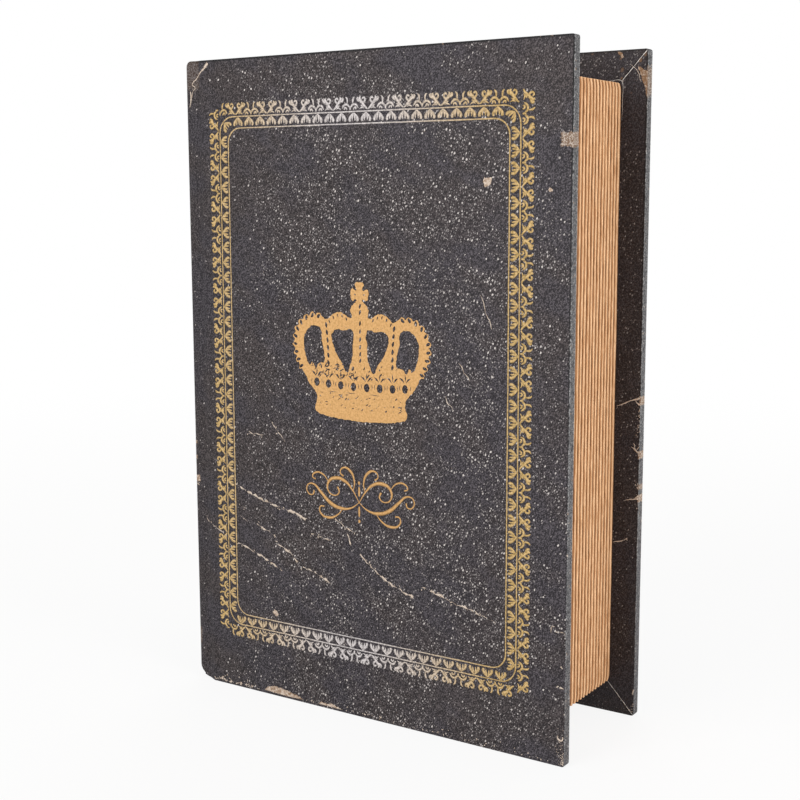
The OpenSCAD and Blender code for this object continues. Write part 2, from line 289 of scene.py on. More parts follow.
def leatherette_material(name, attribute=None):
    """Printed and embossed leatherette. Its pattern lies in the box's own frame, so that it runs
    on over the joint from one cut of the sheet to the next."""
    material, add = new_material(name)
    place = millimetre_place(add, attribute)
    axis = add("SeparateXYZ", (place,)).node.outputs
    fore_edge = cover_high.x + FORE_EDGE_STAND_OFF
    from_fore = add("Math", (fore_edge, axis["X"]), operation="SUBTRACT")
    from_head = add("Math", (cover_high.z, axis["Z"]), operation="SUBTRACT")
    from_end = add("Math", (from_head, axis["Z"]), operation="MINIMUM")
    from_edge = add("Math", (from_fore, from_end), operation="MINIMUM")
    off_middle = add("Math", (axis["Y"],), operation="ABSOLUTE")
    from_face = add("Math", (-cover_low.y, off_middle), operation="SUBTRACT")
    from_inside = add("Math", (off_middle, -cover_high.y), operation="SUBTRACT")
    from_rim = add("Math", (from_face, from_inside), operation="MINIMUM")
    drawn_out, leaning, slanted = (
        add("Mapping", {"Vector": place, "Rotation": (0, slant, 0), "Scale": scale},
            vector_type="TEXTURE")
        for slant, scale in ((DRIFT_SLANT, (2.0, 1.0, 1.0)), (SPECK_SLANT, (1.25, 1.0, 0.75)),
                             (SPECK_SLANT, (1.3, 1.0, 0.9))))

    # The charcoal ground: two tones on the grain, each clouded from blue to brown.
    clouds = add("TexNoise", {"Vector": place, "Scale": 1 / CLOUD_MM, "Detail": 2.0})
    drifts = add("TexNoise", {"Vector": drawn_out, "Scale": 1 / DRIFT_MM, "Detail": 2.0})
    warmth = add("Math", (clouds, drifts), operation="ADD")
    browned = add("MapRange", (warmth, 0.82, 1.18, 0, 0.85), **SMOOTH)
    bend = add("TexNoise", {"Vector": place, "Scale": 0.5 / GRAIN_MM, "Detail": 1.0}, "Color")
    bent = add("VectorMath", (bend, (0.9, 0.9, 0.9), place), operation="MULTIPLY_ADD")
    cells = add("TexVoronoi", {"Vector": bent, "Scale": 1 / GRAIN_MM}, feature="DISTANCE_TO_EDGE")
    pebble = add("MapRange", (cells, 0, 0.3), **SMOOTH)
    mottle = add("TexNoise", {"Vector": leaning, "Scale": 1 / MOTTLE_MM, "Detail": 1.0, "Roughness": 0.4})
    tone = add("Math", (pebble, GRAIN_IN_TONE, mottle), operation="MULTIPLY_ADD")
    raised = add("MapRange", (tone, 0.45, 0.76), **SMOOTH)
    dark = add("Mix", {0: browned, 6: LOW_BLUE, 7: LOW_BROWN}, **RGBA)
    pale = add("Mix", {0: browned, 6: HIGH_BLUE, 7: HIGH_BROWN}, **RGBA)
    by_spine = add("MapRange", (axis["X"], -40, -95, 0, 0.2), **SMOOTH)
    by_fore = add("MapRange", (axis["X"], -20, 60, 0, 0.07), **SMOOTH)
    layers = [(by_spine, LOW_BLUE), (by_fore, HIGH_BLUE)]

    # Specks gather in drifts, and are few by the spine, the rims and the head's fore corner.
    gathered = add("MapRange", (drifts, 0.38, 0.61, 0.14, 1.6), **SMOOTH)
    share = add("MapRange", (axis["X"], -95, 0, 0.08), **SMOOTH)
    from_rims = add("Math", (from_fore, from_head), operation="MINIMUM")
    off_rim = add("MapRange", (from_rims, 3, 30, 0.45), **SMOOTH)
    from_corner = add("Math", (from_fore, from_head), operation="MAXIMUM")
    off_corner = add("MapRange", (from_corner, 18, 60, 0.25), **SMOOTH)
    inner = add("MapRange", (from_inside, 0.5, 0.1), **SMOOTH)
    unhandled = add("Math", (inner, -0.75, 1.0), operation="MULTIPLY_ADD")
    for factor in (off_rim, off_corner, gathered, unhandled):
        share = add("Math", (share, factor), operation="MULTIPLY")
    at_head = add("MapRange", (from_head, 20, 10, 0, 0.32), **SMOOTH)
    share = add("Math", (inner, at_head, share), operation="MULTIPLY_ADD")
    for size_mm, radius, part, tone in SPECK_TIERS:
        taken = add("Math", (share, part), operation="MULTIPLY")
        spots, speck_shade_rings = specks(add, slanted, taken, size_mm, radius)
        # Each speck gets a ring of painted shade in the ground's dark tone.
        layers += [(speck_shade_rings, LOW_BLUE), (spots, linear(tone))]
    taken = add("Math", (inner, at_head), operation="MULTIPLY")
    flecks, _ = specks(add, slanted, taken, FLECK_MM, FLECK_RADIUS)
    layers.append((flecks, FLECK_TAN))

    # Painted shade in the creases beside the rims, painted shade that darkens and browns the turn-ins,
    # and fore edges painted pale grey, partly rubbed wear and partly a painted highlight where the edge
    # faces the light.
    # A dark band of painted shade in the crease beside the rims, weaker towards the tail.
    crease_painted_shade = add("MapRange", (from_edge, 1.1, 0.6, 0, 0.9), **SMOOTH)
    crease_shade_by_height = add("MapRange", (axis["Z"], 40, 260, 0.1))
    crease_painted_shade = add("Math", (crease_painted_shade, crease_shade_by_height), operation="MULTIPLY")
    # The turn-ins on the inner faces are painted darker and browner: painted shade.
    turn_in_painted_shade = add("Math", (inner, 0.47), operation="MULTIPLY")
    ragged = add("TexNoise", {"Vector": place, "Scale": 1 / RAGGED_MM, "Detail": 4.0, "Roughness": 0.72})
    # The fore edges are painted pale grey: rubbed wear with a ragged fray, and a painted highlight of the
    # edge that faces the side lamp.
    frayed = add("Math", (ragged, -FRAY_MM, from_fore), operation="MULTIPLY_ADD")
    rubbed = add("MapRange", (frayed, EDGE_WEAR_MM - 0.5 * FRAY_MM, -0.5 * FRAY_MM), **SMOOTH)
    at_rim = add("MapRange", (from_rim, 1.1, 0.2, 0.6), **SMOOTH)
    up_edge = add("MapRange", (axis["Z"], 10, 130, 0.65), **SMOOTH)
    for factor in (at_rim, up_edge):
        rubbed = add("Math", (rubbed, factor), operation="MULTIPLY")
    edge_wear_and_highlight_tone = add("Mix", {0: raised, 6: EDGE_WEAR_AND_HIGHLIGHT_DARK, 7: EDGE_WEAR_AND_HIGHLIGHT_PALE}, **RGBA)
    layers += [(crease_painted_shade, CREASE_PAINTED_SHADE), (turn_in_painted_shade, TURN_IN_PAINTED_SHADE), (rubbed, edge_wear_and_highlight_tone)]

    # Places where the print is gone and the paper backing shows.
    near_edge = add("MapRange", (from_edge, 1.1, 0.0, 0, 0.08), **SMOOTH)
    wear = add("Math", (ragged, near_edge), operation="ADD")
    worn = add("MapRange", (wear, 0.72, 0.75), **SMOOTH)
    for patch in BARE_PATCHES:
        worn = add("Math", (worn, bare_patch(add, place, ragged, *patch)), operation="MAXIMUM")
    backing_tone = add("Mix", {0: raised, 6: BACKING_BROWN, 7: BACKING_CREAM}, **RGBA)
    colour = add("Mix", {0: raised, 6: dark, 7: pale}, **RGBA)
    for amount, tone in layers + [(worn, backing_tone)]:
        colour = add("Mix", {0: amount, 6: colour, 7: tone}, **RGBA)

    creases = add("TexNoise", {"Vector": place, "Scale": 1 / CREASES_MM, "Detail": 4.0, "Roughness": 0.6})
    relief = add("Math", (creases, 1.2, pebble), operation="MULTIPLY_ADD")
    finish_surface(add, colour, relief, 0.6, GRAIN_HEIGHT_MM, (pebble, 0, 1, 0.62, 0.5),
                   {"IOR": 1.47, "Specular IOR Level": 0.2})
    return material


leatherette = leatherette_material("printed_embossed_leatherette")
leatherette_at_joint = leatherette_material("printed_embossed_leatherette_at_joint", "rest_place")


# Covers. Each is a 3 mm board wrapped in leatherette: the sheet goes over the outer face and the
# edges, and its turn-ins are folded onto the inner face, mitred at the corners and glued.
RIM_RADIUS = 0.4
JOINT_RIM_RADIUS = 2.0
SHARP_ANGLE = math.radians(40)
cover_corner_radius = 1.2
leatherette_thickness = 0.7
turn_in_width = 24.0
MITRE_GAP_WIDTH, MITRE_GAP_DEPTH = 0.3, 0.45
MITRE_LENGTH = 26.0
MITRE_STEEPNESS = 1.08


def add_solid(name, bm):
    """Adds an object whose mesh is a bmesh in millimetres."""
    bm.transform(Matrix.Scale(MM, 4))
    mesh = bpy.data.meshes.new(name)
    bm.to_mesh(mesh)
    bm.free()
    return add_object(name, mesh)


def make_piece(name, bm, material, body, replaces=(), smooth=True):
    """Turns a bmesh in millimetres into a piece that rides on a body of the frame."""
    piece = add_solid(name, bm)
    piece.data.materials.append(material)
    if smooth:
        shade_smooth(piece.data)
    if replaces:
        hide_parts(*replaces)
    if body:
        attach(piece, body)
    return piece


def shade_smooth(mesh):
    mesh.shade_smooth()
    mesh.set_sharp_from_angle(angle=SHARP_ANGLE)


def block(low, high):
    """A block between two corners."""
    bm = bmesh.new()
    place = Matrix.Translation((low + high) / 2) @ Matrix.Diagonal((*(high - low), 1.0))
    bmesh.ops.create_cube(bm, size=1.0, matrix=place)
    return bm


def bevel(bm, edges, radius, segments):
    bmesh.ops.bevel(bm, geom=edges, offset=radius, offset_type="OFFSET", affect="EDGES",
                    segments=segments, profile=0.5, material=-1, clamp_overlap=True)


def in_plane(edge, axis, value, tolerance=0.01):
    return all(abs(v.co[axis] - value) < tolerance for v in edge.verts)


def wrapped_slab(low, high, y_outer):
    """The outer shape of a covered board: rounded corners, soft rims, a softer rim at the joint."""
    bm = block(low, high)
    corners = [e for e in bm.edges if in_plane(e, 0, high.x)
               and abs(e.verts[0].co.y - e.verts[1].co.y) > 1]
    bevel(bm, corners, cover_corner_radius, 6)
    joint_rim = [e for e in bm.edges if in_plane(e, 0, low.x) and in_plane(e, 1, y_outer)]
    bevel(bm, joint_rim, JOINT_RIM_RADIUS, 5)
    rims = [e for e in bm.edges if (in_plane(e, 1, low.y) or in_plane(e, 1, high.y))
            and not in_plane(e, 0, low.x) and e.calc_face_angle(0.0) > 1.0]
    bevel(bm, rims, RIM_RADIUS, 3)
    return bm


def carve(piece, cutters):
    """Cuts bodies, given as bmeshes in millimetres, out of a piece for good."""
    tools = []
    for bm in cutters:
        tool = add_solid("cutter", bm)
        modifier = piece.modifiers.new("carve", "BOOLEAN")
        modifier.operation = "DIFFERENCE"
        modifier.solver = "EXACT"
        modifier.object = tool
        tools.append(tool)
    bpy.context.view_layer.update()
    graph = bpy.context.evaluated_depsgraph_get()
    carved = bpy.data.meshes.new_from_object(piece.evaluated_get(graph))
    piece.modifiers.clear()
    piece.data = carved
    for tool in tools:
        bpy.data.objects.remove(tool)
    shade_smooth(carved)


def cover_window(low, high, y_outer):
    """The block that the turn-ins leave open on the inner face of a board."""
    inner = low.y if y_outer == high.y else high.y
    inward = 1 if y_outer == high.y else -1
    y_ends = sorted((inner - inward, inner + inward * leatherette_thickness))
    return block(Vector((low.x - 1, y_ends[0], low.z + turn_in_width)),
                 Vector((high.x - turn_in_width, y_ends[1], high.z - turn_in_width)))


def mitre_gap(low, high, y_outer, way):
    """The thin gap between two turn-ins at a corner: way is 1 at the head and -1 at the tail."""
    inner = low.y if y_outer == high.y else high.y
    corner = Vector((high.x + FORE_EDGE_STAND_OFF, inner, high.z if way > 0 else low.z))
    along = Vector((-1, 0, -way * MITRE_STEEPNESS)).normalized()
    aside = Vector((-MITRE_STEEPNESS, 0, way)).normalized() * MITRE_GAP_WIDTH
    place = (Matrix.Translation(corner + along * (MITRE_LENGTH / 2 + 0.9) + aside)
             @ Matrix.Rotation(-way * math.atan(MITRE_STEEPNESS), 4, "Y")
             @ Matrix.Diagonal((MITRE_LENGTH, 2 * MITRE_GAP_DEPTH, MITRE_GAP_WIDTH, 1.0)))
    bm = bmesh.new()
    bmesh.ops.create_cube(bm, size=1.0, matrix=place)
    return bm


fore_stand_off = Vector((FORE_EDGE_STAND_OFF, 0, 0))
back_low, back_high = box_mm("back_covering")
back_low.x = cover_low.x
for side, low, high, y_outer, body in (("front", cover_low, cover_high, cover_low.y, "lid"),
                                       ("back", back_low, back_high, back_high.y, "root")):
    covering = make_piece(side + "_leatherette", wrapped_slab(low, high + fore_stand_off, y_outer),
                          leatherette, body, [side + "_covering"])
    carve(covering, [block(*box_mm(side + "_board")), cover_window(low, high, y_outer),
                     mitre_gap(low, high, y_outer, 1), mitre_gap(low, high, y_outer, -1)])


# Spine. A shaped fibreboard, crowned outside and flat inside, is covered by the same sheet, folded
# over its head and tail. Its long edges stand half a millimetre below the covers' faces, and its
# head and, more so, its tail are rubbed round where the box is pulled out and stood down.
CROWN_STEPS = 28
EDGE_STEPS = 6
END_LEVELS = (0.0, 0.04, 0.1, 0.2, 0.34, 0.52, 0.74, 1.0)
SPINE_HEAD_ROUND, SPINE_TAIL_ROUND = 2.6, 6.5
ROUNDED_BACK_MOST = 3.3
TAIL_LIFT_START_X = -88.5
TAIL_LIFT_RUN = 7.5
TAIL_LIFT_RADIUS = 16.0
spine_low, spine_high = box_mm("spine_covering")
spine_in_x = box_mm("spine_board")[1].x
spine_edge_radius = 1.9
spine_bulge = 3.6
crown_radius = (spine_high.y**2 + spine_bulge**2) / (2 * spine_bulge)
crown_x = spine_low.x + crown_radius
fillet_y = spine_high.y - spine_edge_radius
fillet_x = crown_x - math.sqrt((crown_radius - spine_edge_radius) ** 2 - fillet_y**2)
spine_edge_width = spine_in_x - (spine_low.x + spine_bulge)


def rounded_back(from_end, radius):
    """How far the spine's long edge is rubbed back at a distance from the spine's end."""
    lift = max(radius - from_end, 0.0)
    return min(radius - math.sqrt(radius**2 - lift**2), ROUNDED_BACK_MOST)


def lift_tail(bm):
    """Rubs the case's spine corner up off the floor at its tail."""
    for vert in bm.verts:
        past = min(max(TAIL_LIFT_START_X - vert.co.x, 0.0), TAIL_LIFT_RUN)
        lift = TAIL_LIFT_RADIUS - math.sqrt(TAIL_LIFT_RADIUS**2 - past**2)
        vert.co.z += lift * max(0.0, 1 - vert.co.z / SPINE_TAIL_ROUND)


def only(kind, geom):
    """The points, edges or faces out of what a bmesh operator returns."""
    return [g for g in geom if isinstance(g, kind)]


def spine_solid(inset, x_inner):
    """The spine's body drawn in by an inset: its section is spun, then pulled up in levels."""
    z_low, z_high = spine_low.z + inset, spine_high.z - inset
    half = spine_high.y - inset
    lean = math.asin(fillet_y / (crown_radius - spine_edge_radius))
    bm = bmesh.new()
    first = bm.verts.new((x_inner, -half, z_low))
    corner = bm.verts.new((fillet_x, -half, z_low))
    bm.edges.new((first, corner))
    turns = [((fillet_x, -fillet_y, z_low), math.pi / 2 - lean, EDGE_STEPS),
             ((crown_x, 0, z_low), 2 * lean, CROWN_STEPS),
             ((fillet_x, fillet_y, z_low), math.pi / 2 - lean, EDGE_STEPS)]
    for centre, angle, steps in turns:
        spun = bmesh.ops.spin(bm, geom=[corner], cent=centre, axis=(0, 0, -1), angle=angle, steps=steps)
        corner = only(BMVert, spun["geom_last"])[0]
    last = bm.verts.new((x_inner, half, z_low))
    bm.edges.new((corner, last))
    bm.edges.new((last, first))

    levels = []
    for z_end, radius, shares in ((z_low, SPINE_TAIL_ROUND, END_LEVELS),
                                  (z_high, -SPINE_HEAD_ROUND, reversed(END_LEVELS))):
        for share in shares:
            levels.append((z_end + radius * share, rounded_back(abs(radius) * share, abs(radius))))
    ring, kept, z_before = bm.edges[:], 1.0, z_low
    bmesh.ops.contextual_create(bm, geom=ring)
    for z, back in levels:
        if z > z_before:
            pulled = bmesh.ops.extrude_edge_only(bm, edges=ring)["geom"]
            verts = set(only(BMVert, pulled))
            ring = [edge for edge in only(BMEdge, pulled) if verts.issuperset(edge.verts)]
        else:
            verts = set(bm.verts)
        share = 1 - back / spine_edge_width
        bmesh.ops.translate(bm, verts=list(verts), vec=(0, 0, z - z_before))
        bmesh.ops.scale(bm, verts=list(verts), vec=(share / kept, 1, 1),
                        space=Matrix.Translation((-spine_in_x, 0, 0)))
        z_before, kept = z, share
    bmesh.ops.contextual_create(bm, geom=ring)
    lift_tail(bm)
    bmesh.ops.recalc_face_normals(bm, faces=bm.faces[:])
    return bm


spine_covering = make_piece("spine_leatherette", spine_solid(0.0, spine_in_x), leatherette, "root",
                            ["spine_covering"])
carve(spine_covering, [spine_solid(leatherette_thickness, spine_in_x + 1)])

block_low, block_high = box_mm("page_wrap")
joint_half = 35.5
for name, z_low, z_high in (("tail", spine_low.z, block_low.z),
                            ("head", block_high.z, spine_high.z)):
    bm = block(Vector((spine_in_x - 0.5, -joint_half, z_low)),
               Vector((spine_in_x + leatherette_thickness, joint_half, z_high)))
    lift_tail(bm)
    bevel(bm, [e for e in bm.edges if in_plane(e, 0, spine_in_x + leatherette_thickness)], 0.3, 2)
    make_piece("spine_turn_in_" + name, bm, leatherette, "root")


# Joints. Between the spine and each board the leatherette runs on alone and is pressed into a
# shallow groove. The front one is the box's hinge and bends; the back one is glued to the tray.
GROOVE_EXTRA = 0.4
PROUD = 0.02
JOINT_COLUMNS = 26
JOINT_ROWS = 30
joint_low, joint_high = box_mm("joint_strip")
joint_middle = (joint_low.x + joint_high.x) / 2
sheet_start_x = joint_low.x - 0.7
sheet_end_x = joint_high.x + 2.1
spine_drop = spine_low.y - cover_low.y


def sunk(x):
    """How far the skin lies below the cover's face: not at all on the board, most in the groove,
    and over the spine's edge as far as that turns away."""
    rise = min(max((x - joint_middle - 1.0) / (sheet_end_x - joint_middle - 1.2), 0), 1)
    step = spine_drop * (1 - rise * rise * (3 - 2 * rise))
    dip = GROOVE_EXTRA * math.exp(-(((x - joint_middle) / 1.5) ** 2))
    over = min(max(fillet_x - x, 0), spine_edge_radius)
    return step + dip + spine_edge_radius - math.sqrt(spine_edge_radius**2 - over**2)


def joint_sheet(side):
    """A curved strip over a joint: side is -1 at the front and 1 at the back."""
    bm = bmesh.new()
    row = []
    for i in range(JOINT_COLUMNS + 1):
        x = sheet_start_x + (sheet_end_x - sheet_start_x) * i / JOINT_COLUMNS
        row.append(bm.verts.new((x, side * (back_high.y + PROUD - sunk(x)), cover_low.z)))
    edges = [bm.edges.new(pair) for pair in zip(row, row[1:])]
    row_height = (cover_high.z - cover_low.z) / JOINT_ROWS
    for _ in range(JOINT_ROWS):
        pulled = bmesh.ops.extrude_edge_only(bm, edges=edges)["geom"]
        edges = [edge for edge in only(BMEdge, pulled)
                 if abs(edge.verts[0].co.x - edge.verts[1].co.x) > 1e-6]
        bmesh.ops.translate(bm, verts=only(BMVert, pulled), vec=(0, 0, row_height))
    lift_tail(bm)
    bmesh.ops.recalc_face_normals(bm, faces=bm.faces[:])
    if bm.faces[0].normal.y * side < 0:
        bmesh.ops.reverse_faces(bm, faces=bm.faces[:])
    bmesh.ops.solidify(bm, geom=bm.faces[:], thickness=leatherette_thickness)
    return bm


def keep_rest_place(mesh):
    """Stores each point's place at rest, so that a pattern stays on a piece that bends."""
    stored = mesh.attributes.new("rest_place", "FLOAT_VECTOR", "POINT")
    for vertex, value in zip(mesh.vertices, stored.data):
        value.vector = vertex.co


def hinge(piece):
    """Readies a piece that lies over the front joint: stores its rest place and bakes its transform into
    its mesh.
    """
    keep_rest_place(piece.data)
    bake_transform(piece)


front_joint = make_piece("front_joint_leatherette", joint_sheet(-1), leatherette_at_joint, None,
                         ["joint_strip"])
hinge(front_joint)
make_piece("back_joint_leatherette", joint_sheet(1), leatherette, "root")


# Page block. The tray looks like a block of leaves: a ribbed kraft paper, printed tan, is wrapped
# round its tail, fore edge and head and glued to the fibreboard walls. Its corners are creased
# sharp beside the front cover and left rounder towards the back one.
RIB_COUNT = 21
RIB_PITCH = 3.05
RIB_RISE = 0.8
POINTS_PER_RIB = 6
BLOCK_CORNER_RADIUS = 4.1
CREASED_SHARP = 0.85
LAST_LEAF_HEIGHT = 0.65
WRAP_THICKNESS = 1.4
SHORT_STEPS = 30
LONG_STEPS = 46
CORNER_STEPS = 8
BLOTCH_MM = 9.0
# Crest tone with a painted highlight, middle tone, and valley tone with painted shade.
LEAF_CREST_PAINTED_HIGHLIGHT = linear("#fccfa2")
LEAF_MIDDLE = linear("#bb8457")
LEAF_VALLEY_PIGMENT_AND_SHADE = linear("#502b11")


def sweep(bm, geom, steps, step=(0, 0, 0), centre=(0, 0, 0), angle=0.0):
    """Sweeps a profile along a straight run or round a corner and returns its far end."""
    return bmesh.ops.spin(bm, geom=geom, cent=centre, axis=(0, -1, 0), dvec=step, angle=angle,
                          space=Matrix(), steps=steps)["geom_last"]


bm = bmesh.new()
height_layer = bm.verts.layers.float.new("rib_height")
margin = (block_high.y - block_low.y - RIB_COUNT * RIB_PITCH) / 2
corner_x = block_high.x - BLOCK_CORNER_RADIUS
corner_z = (block_low.z + BLOCK_CORNER_RADIUS, block_high.z - BLOCK_CORNER_RADIUS)
profile = [bm.verts.new((block_low.x, block_low.y, block_low.z + WRAP_THICKNESS)),
           bm.verts.new((block_low.x, block_low.y, block_low.z + RIB_RISE))]
for i in range(RIB_COUNT * POINTS_PER_RIB + 1):
    phase = (i / POINTS_PER_RIB) % 1
    height = math.sin(math.pi * phase) ** 0.62 if 0 < phase < 1 else 0.0
    if i > (RIB_COUNT - 0.5) * POINTS_PER_RIB:
        height = max(height, LAST_LEAF_HEIGHT)
    y = block_low.y + margin + i * RIB_PITCH / POINTS_PER_RIB
    vert = bm.verts.new((block_low.x, y, block_low.z + RIB_RISE * (1 - height)))
    vert[height_layer] = height
    profile.append(vert)
profile.append(bm.verts.new((block_low.x, block_high.y, block_low.z + RIB_RISE)))
profile.append(bm.verts.new((block_low.x, block_high.y, block_low.z + WRAP_THICKNESS)))
end_face = bm.faces.new(profile)
geom = profile + end_face.edges[:]
short_step = (corner_x - block_low.x) / SHORT_STEPS
long_step = (corner_z[1] - corner_z[0]) / LONG_STEPS
geom = sweep(bm, geom, SHORT_STEPS, step=(short_step, 0, 0))
geom = sweep(bm, geom, CORNER_STEPS, centre=(corner_x, 0, corner_z[0]), angle=math.pi / 2)
geom = sweep(bm, geom, LONG_STEPS, step=(0, 0, long_step))
geom = sweep(bm, geom, CORNER_STEPS, centre=(corner_x, 0, corner_z[1]), angle=math.pi / 2)
geom = sweep(bm, geom, SHORT_STEPS, step=(-short_step, 0, 0))
bmesh.ops.contextual_create(bm, geom=only(BMEdge, geom))
bmesh.ops.recalc_face_normals(bm, faces=bm.faces[:])
for vert in bm.verts:
    co = vert.co
    depth = (co.y - block_low.y) / (block_high.y - block_low.y)
    centre_z = min(max(co.z, corner_z[0]), corner_z[1])
    out = Vector((max(co.x - corner_x, 0.0), 0, co.z - centre_z))
    if out.x > 0.001 and abs(out.z) > 0.001:
        squared = out.length / max(out.x, abs(out.z)) - 1
        out *= 1 + squared * CREASED_SHARP * (1 - 0.45 * depth)
        co.x, co.z = corner_x + out.x, centre_z + out.z
    if vert[height_layer] > 0:
        wander = noise.noise(Vector((co.x * 0.03, co.y * 0.12, co.z * 0.03)))
        swell = noise.noise(Vector((co.x * 0.05, co.y * 0.4 + 9, co.z * 0.05)))
        co.y += 0.22 * wander
        co.x += 0.03 * (swell - 0.5) * min(corner_x - co.x, 0.0)

page_paper, add = new_material("ribbed_kraft_paper_printed_tan")
place = millimetre_place(add)
height = add("Attribute", output="Fac", attribute_name="rib_height")
along = add("VectorMath", (place, (0.16, 3.2, 0.16)), operation="MULTIPLY")
fibres = add("TexNoise", {"Vector": along, "Scale": 1.0, "Detail": 3.0, "Roughness": 0.6})
blotches = add("TexNoise", {"Vector": place, "Scale": 1 / BLOTCH_MM, "Detail": 3.0, "Roughness": 0.6})
# By rib height the tan is painted light on the crests, a painted highlight, and dark in the valleys, a
# darker pigment deepened by painted shade.
lit = add("Math", (fibres, 1.0, height), operation="MULTIPLY_ADD")
body = add("MapRange", (lit, 0.64, 1.34), **SMOOTH)
crest = add("MapRange", (lit, 1.18, 1.6), **SMOOTH)
stained = add("MapRange", (blotches, 0.45, 0.75, 0, 0.25), **SMOOTH)
colour = LEAF_VALLEY_PIGMENT_AND_SHADE
for amount, tone in ((body, LEAF_MIDDLE), (crest, LEAF_CREST_PAINTED_HIGHLIGHT), (stained, LEAF_MIDDLE)):
    colour = add("Mix", {0: amount, 6: colour, 7: tone}, **RGBA)
finish_surface(add, colour, fibres, 0.4, 0.1, (fibres, 0, 1, 0.92, 0.8), {"Specular IOR Level": 0.2})
make_piece("page_edges", bm, page_paper, "root", ["page_wrap"])


# Linings. Dark brown lining paper covers the tray's walls and floor and the inside of the front
# cover, and kraft paper the tray's rim. The boards behind them are raw greyboard and fibreboard,
# and two pairs of small bar magnets sunk in the fore edge keep the cover shut.
HINGE_PAPER_MM = 0.36
HINGE_PAPER_TURN = 1.6
HINGE_PAPER_STEPS = 14
SHEET_CLOUD_MM = 22.0


def sheet_material(name, dark, pale, grain_mm, depth_mm, roughness):
    """A matt pressed sheet: fibres of two tones, felted without direction, over soft clouds."""
    material, add = new_material(name)
    place = millimetre_place(add)
    felt = add("TexNoise", {"Vector": place, "Scale": 1 / grain_mm, "Detail": 4.0, "Roughness": 0.65})
    clouds = add("TexNoise", {"Vector": place, "Scale": 1 / SHEET_CLOUD_MM})
    tone = add("Math", (clouds, 0.3, felt), operation="MULTIPLY_ADD")
    pressed = add("MapRange", (tone, 0.45, 0.85), **SMOOTH)
    colour = add("Mix", {0: pressed, 6: linear(dark), 7: linear(pale)}, **RGBA)
    finish_surface(add, colour, felt, 0.5, depth_mm, (felt, 0.3, 0.7, roughness, roughness - 0.1),
                   {"Specular IOR Level": 0.25})
    return material


lining_paper, greyboard, fibreboard, rim_stock, paper_core = (sheet_material(*sheet) for sheet in (
    ("uncoated_lining_paper_dyed_brown", "#3a2a22", "#5a4334", 1.1, 0.05, 0.9),
    ("recycled_greyboard", "#77736c", "#9d988f", 1.4, 0.08, 0.92),
    ("pressed_medium_density_fibreboard", "#8f6b48", "#b38d63", 0.9, 0.06, 0.85),
    ("kraft_paper_over_the_rim", "#b98552", "#d8a673", 1.2, 0.05, 0.88),
    ("white_paper_core_at_cut_edges", "#d2cbc4", "#f1ece6", 0.9, 0.04, 0.88)))

# Nickel plate on pressed steel: bright, with fine rolling streaks along the bar.
steel, add = new_material("nickel_plated_magnet_steel")
brushed = add("VectorMath", (millimetre_place(add), (0.4, 9.0, 9.0)), operation="MULTIPLY")
streaks = add("TexNoise", {"Vector": brushed, "Scale": 1.0})
colour = add("Mix", {0: streaks, 6: linear("#b9b6b0"), 7: linear("#d6d3cc")}, **RGBA)
finish_surface(add, colour, streaks, 0.2, 0.02, (streaks, 0.3, 0.7, 0.38, 0.28), {"Metallic": 1.0})

for finish, nodes in ((lining_paper, ("front_lining", "wall_lining", "floor_lining")),
                      (rim_stock, ("rim_paper",)), (greyboard, ("front_board", "back_board")),
                      (fibreboard, ("fore_edge_wall", "head_wall", "tail_wall", "spine_wall",
                                    "tray_floor")),
                      (steel, ("lid_magnets", "tray_magnets"))):
    for node in nodes:
        for material_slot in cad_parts[node].material_slots:
            material_slot.material = finish

spine_core = spine_solid(leatherette_thickness, spine_in_x)
make_piece("shaped_spine_board", spine_core, fibreboard, "root", ["spine_board"])

lining_at_joint = lining_paper.copy()
lining_at_joint.name = "uncoated_lining_paper_at_joint"
hinge_low, hinge_high = box_mm("joint_lining")
bm = bmesh.new()
first = bm.verts.new((hinge_low.x + 0.2, hinge_high.y, hinge_low.z))
corner = bm.verts.new((hinge_low.x + 0.2, hinge_low.y + HINGE_PAPER_MM / 2 + HINGE_PAPER_TURN,
                       hinge_low.z))
bm.edges.new((first, corner))
centre = (corner.co.x + HINGE_PAPER_TURN, corner.co.y, 0)
turned = bmesh.ops.spin(bm, geom=[corner], cent=centre, axis=(0, 0, 1), angle=math.pi / 2, steps=5)
corner = only(BMVert, turned["geom_last"])[0]
run = (hinge_high.x - 0.02 - corner.co.x) / HINGE_PAPER_STEPS
bmesh.ops.spin(bm, geom=[corner], dvec=(run, 0, 0), axis=(0, 0, 1), steps=HINGE_PAPER_STEPS)
height_step = (hinge_high.z - hinge_low.z) / JOINT_ROWS
bmesh.ops.spin(bm, geom=bm.verts[:] + bm.edges[:], dvec=(0, 0, height_step), axis=(0, 0, 1),
               steps=JOINT_ROWS)
bmesh.ops.recalc_face_normals(bm, faces=bm.faces[:])
bmesh.ops.solidify(bm, geom=bm.faces[:], thickness=HINGE_PAPER_MM / 2)
bmesh.ops.recalc_face_normals(bm, faces=bm.faces[:])
hinge(make_piece("joint_paper", bm, lining_at_joint, None, ["joint_lining"]))


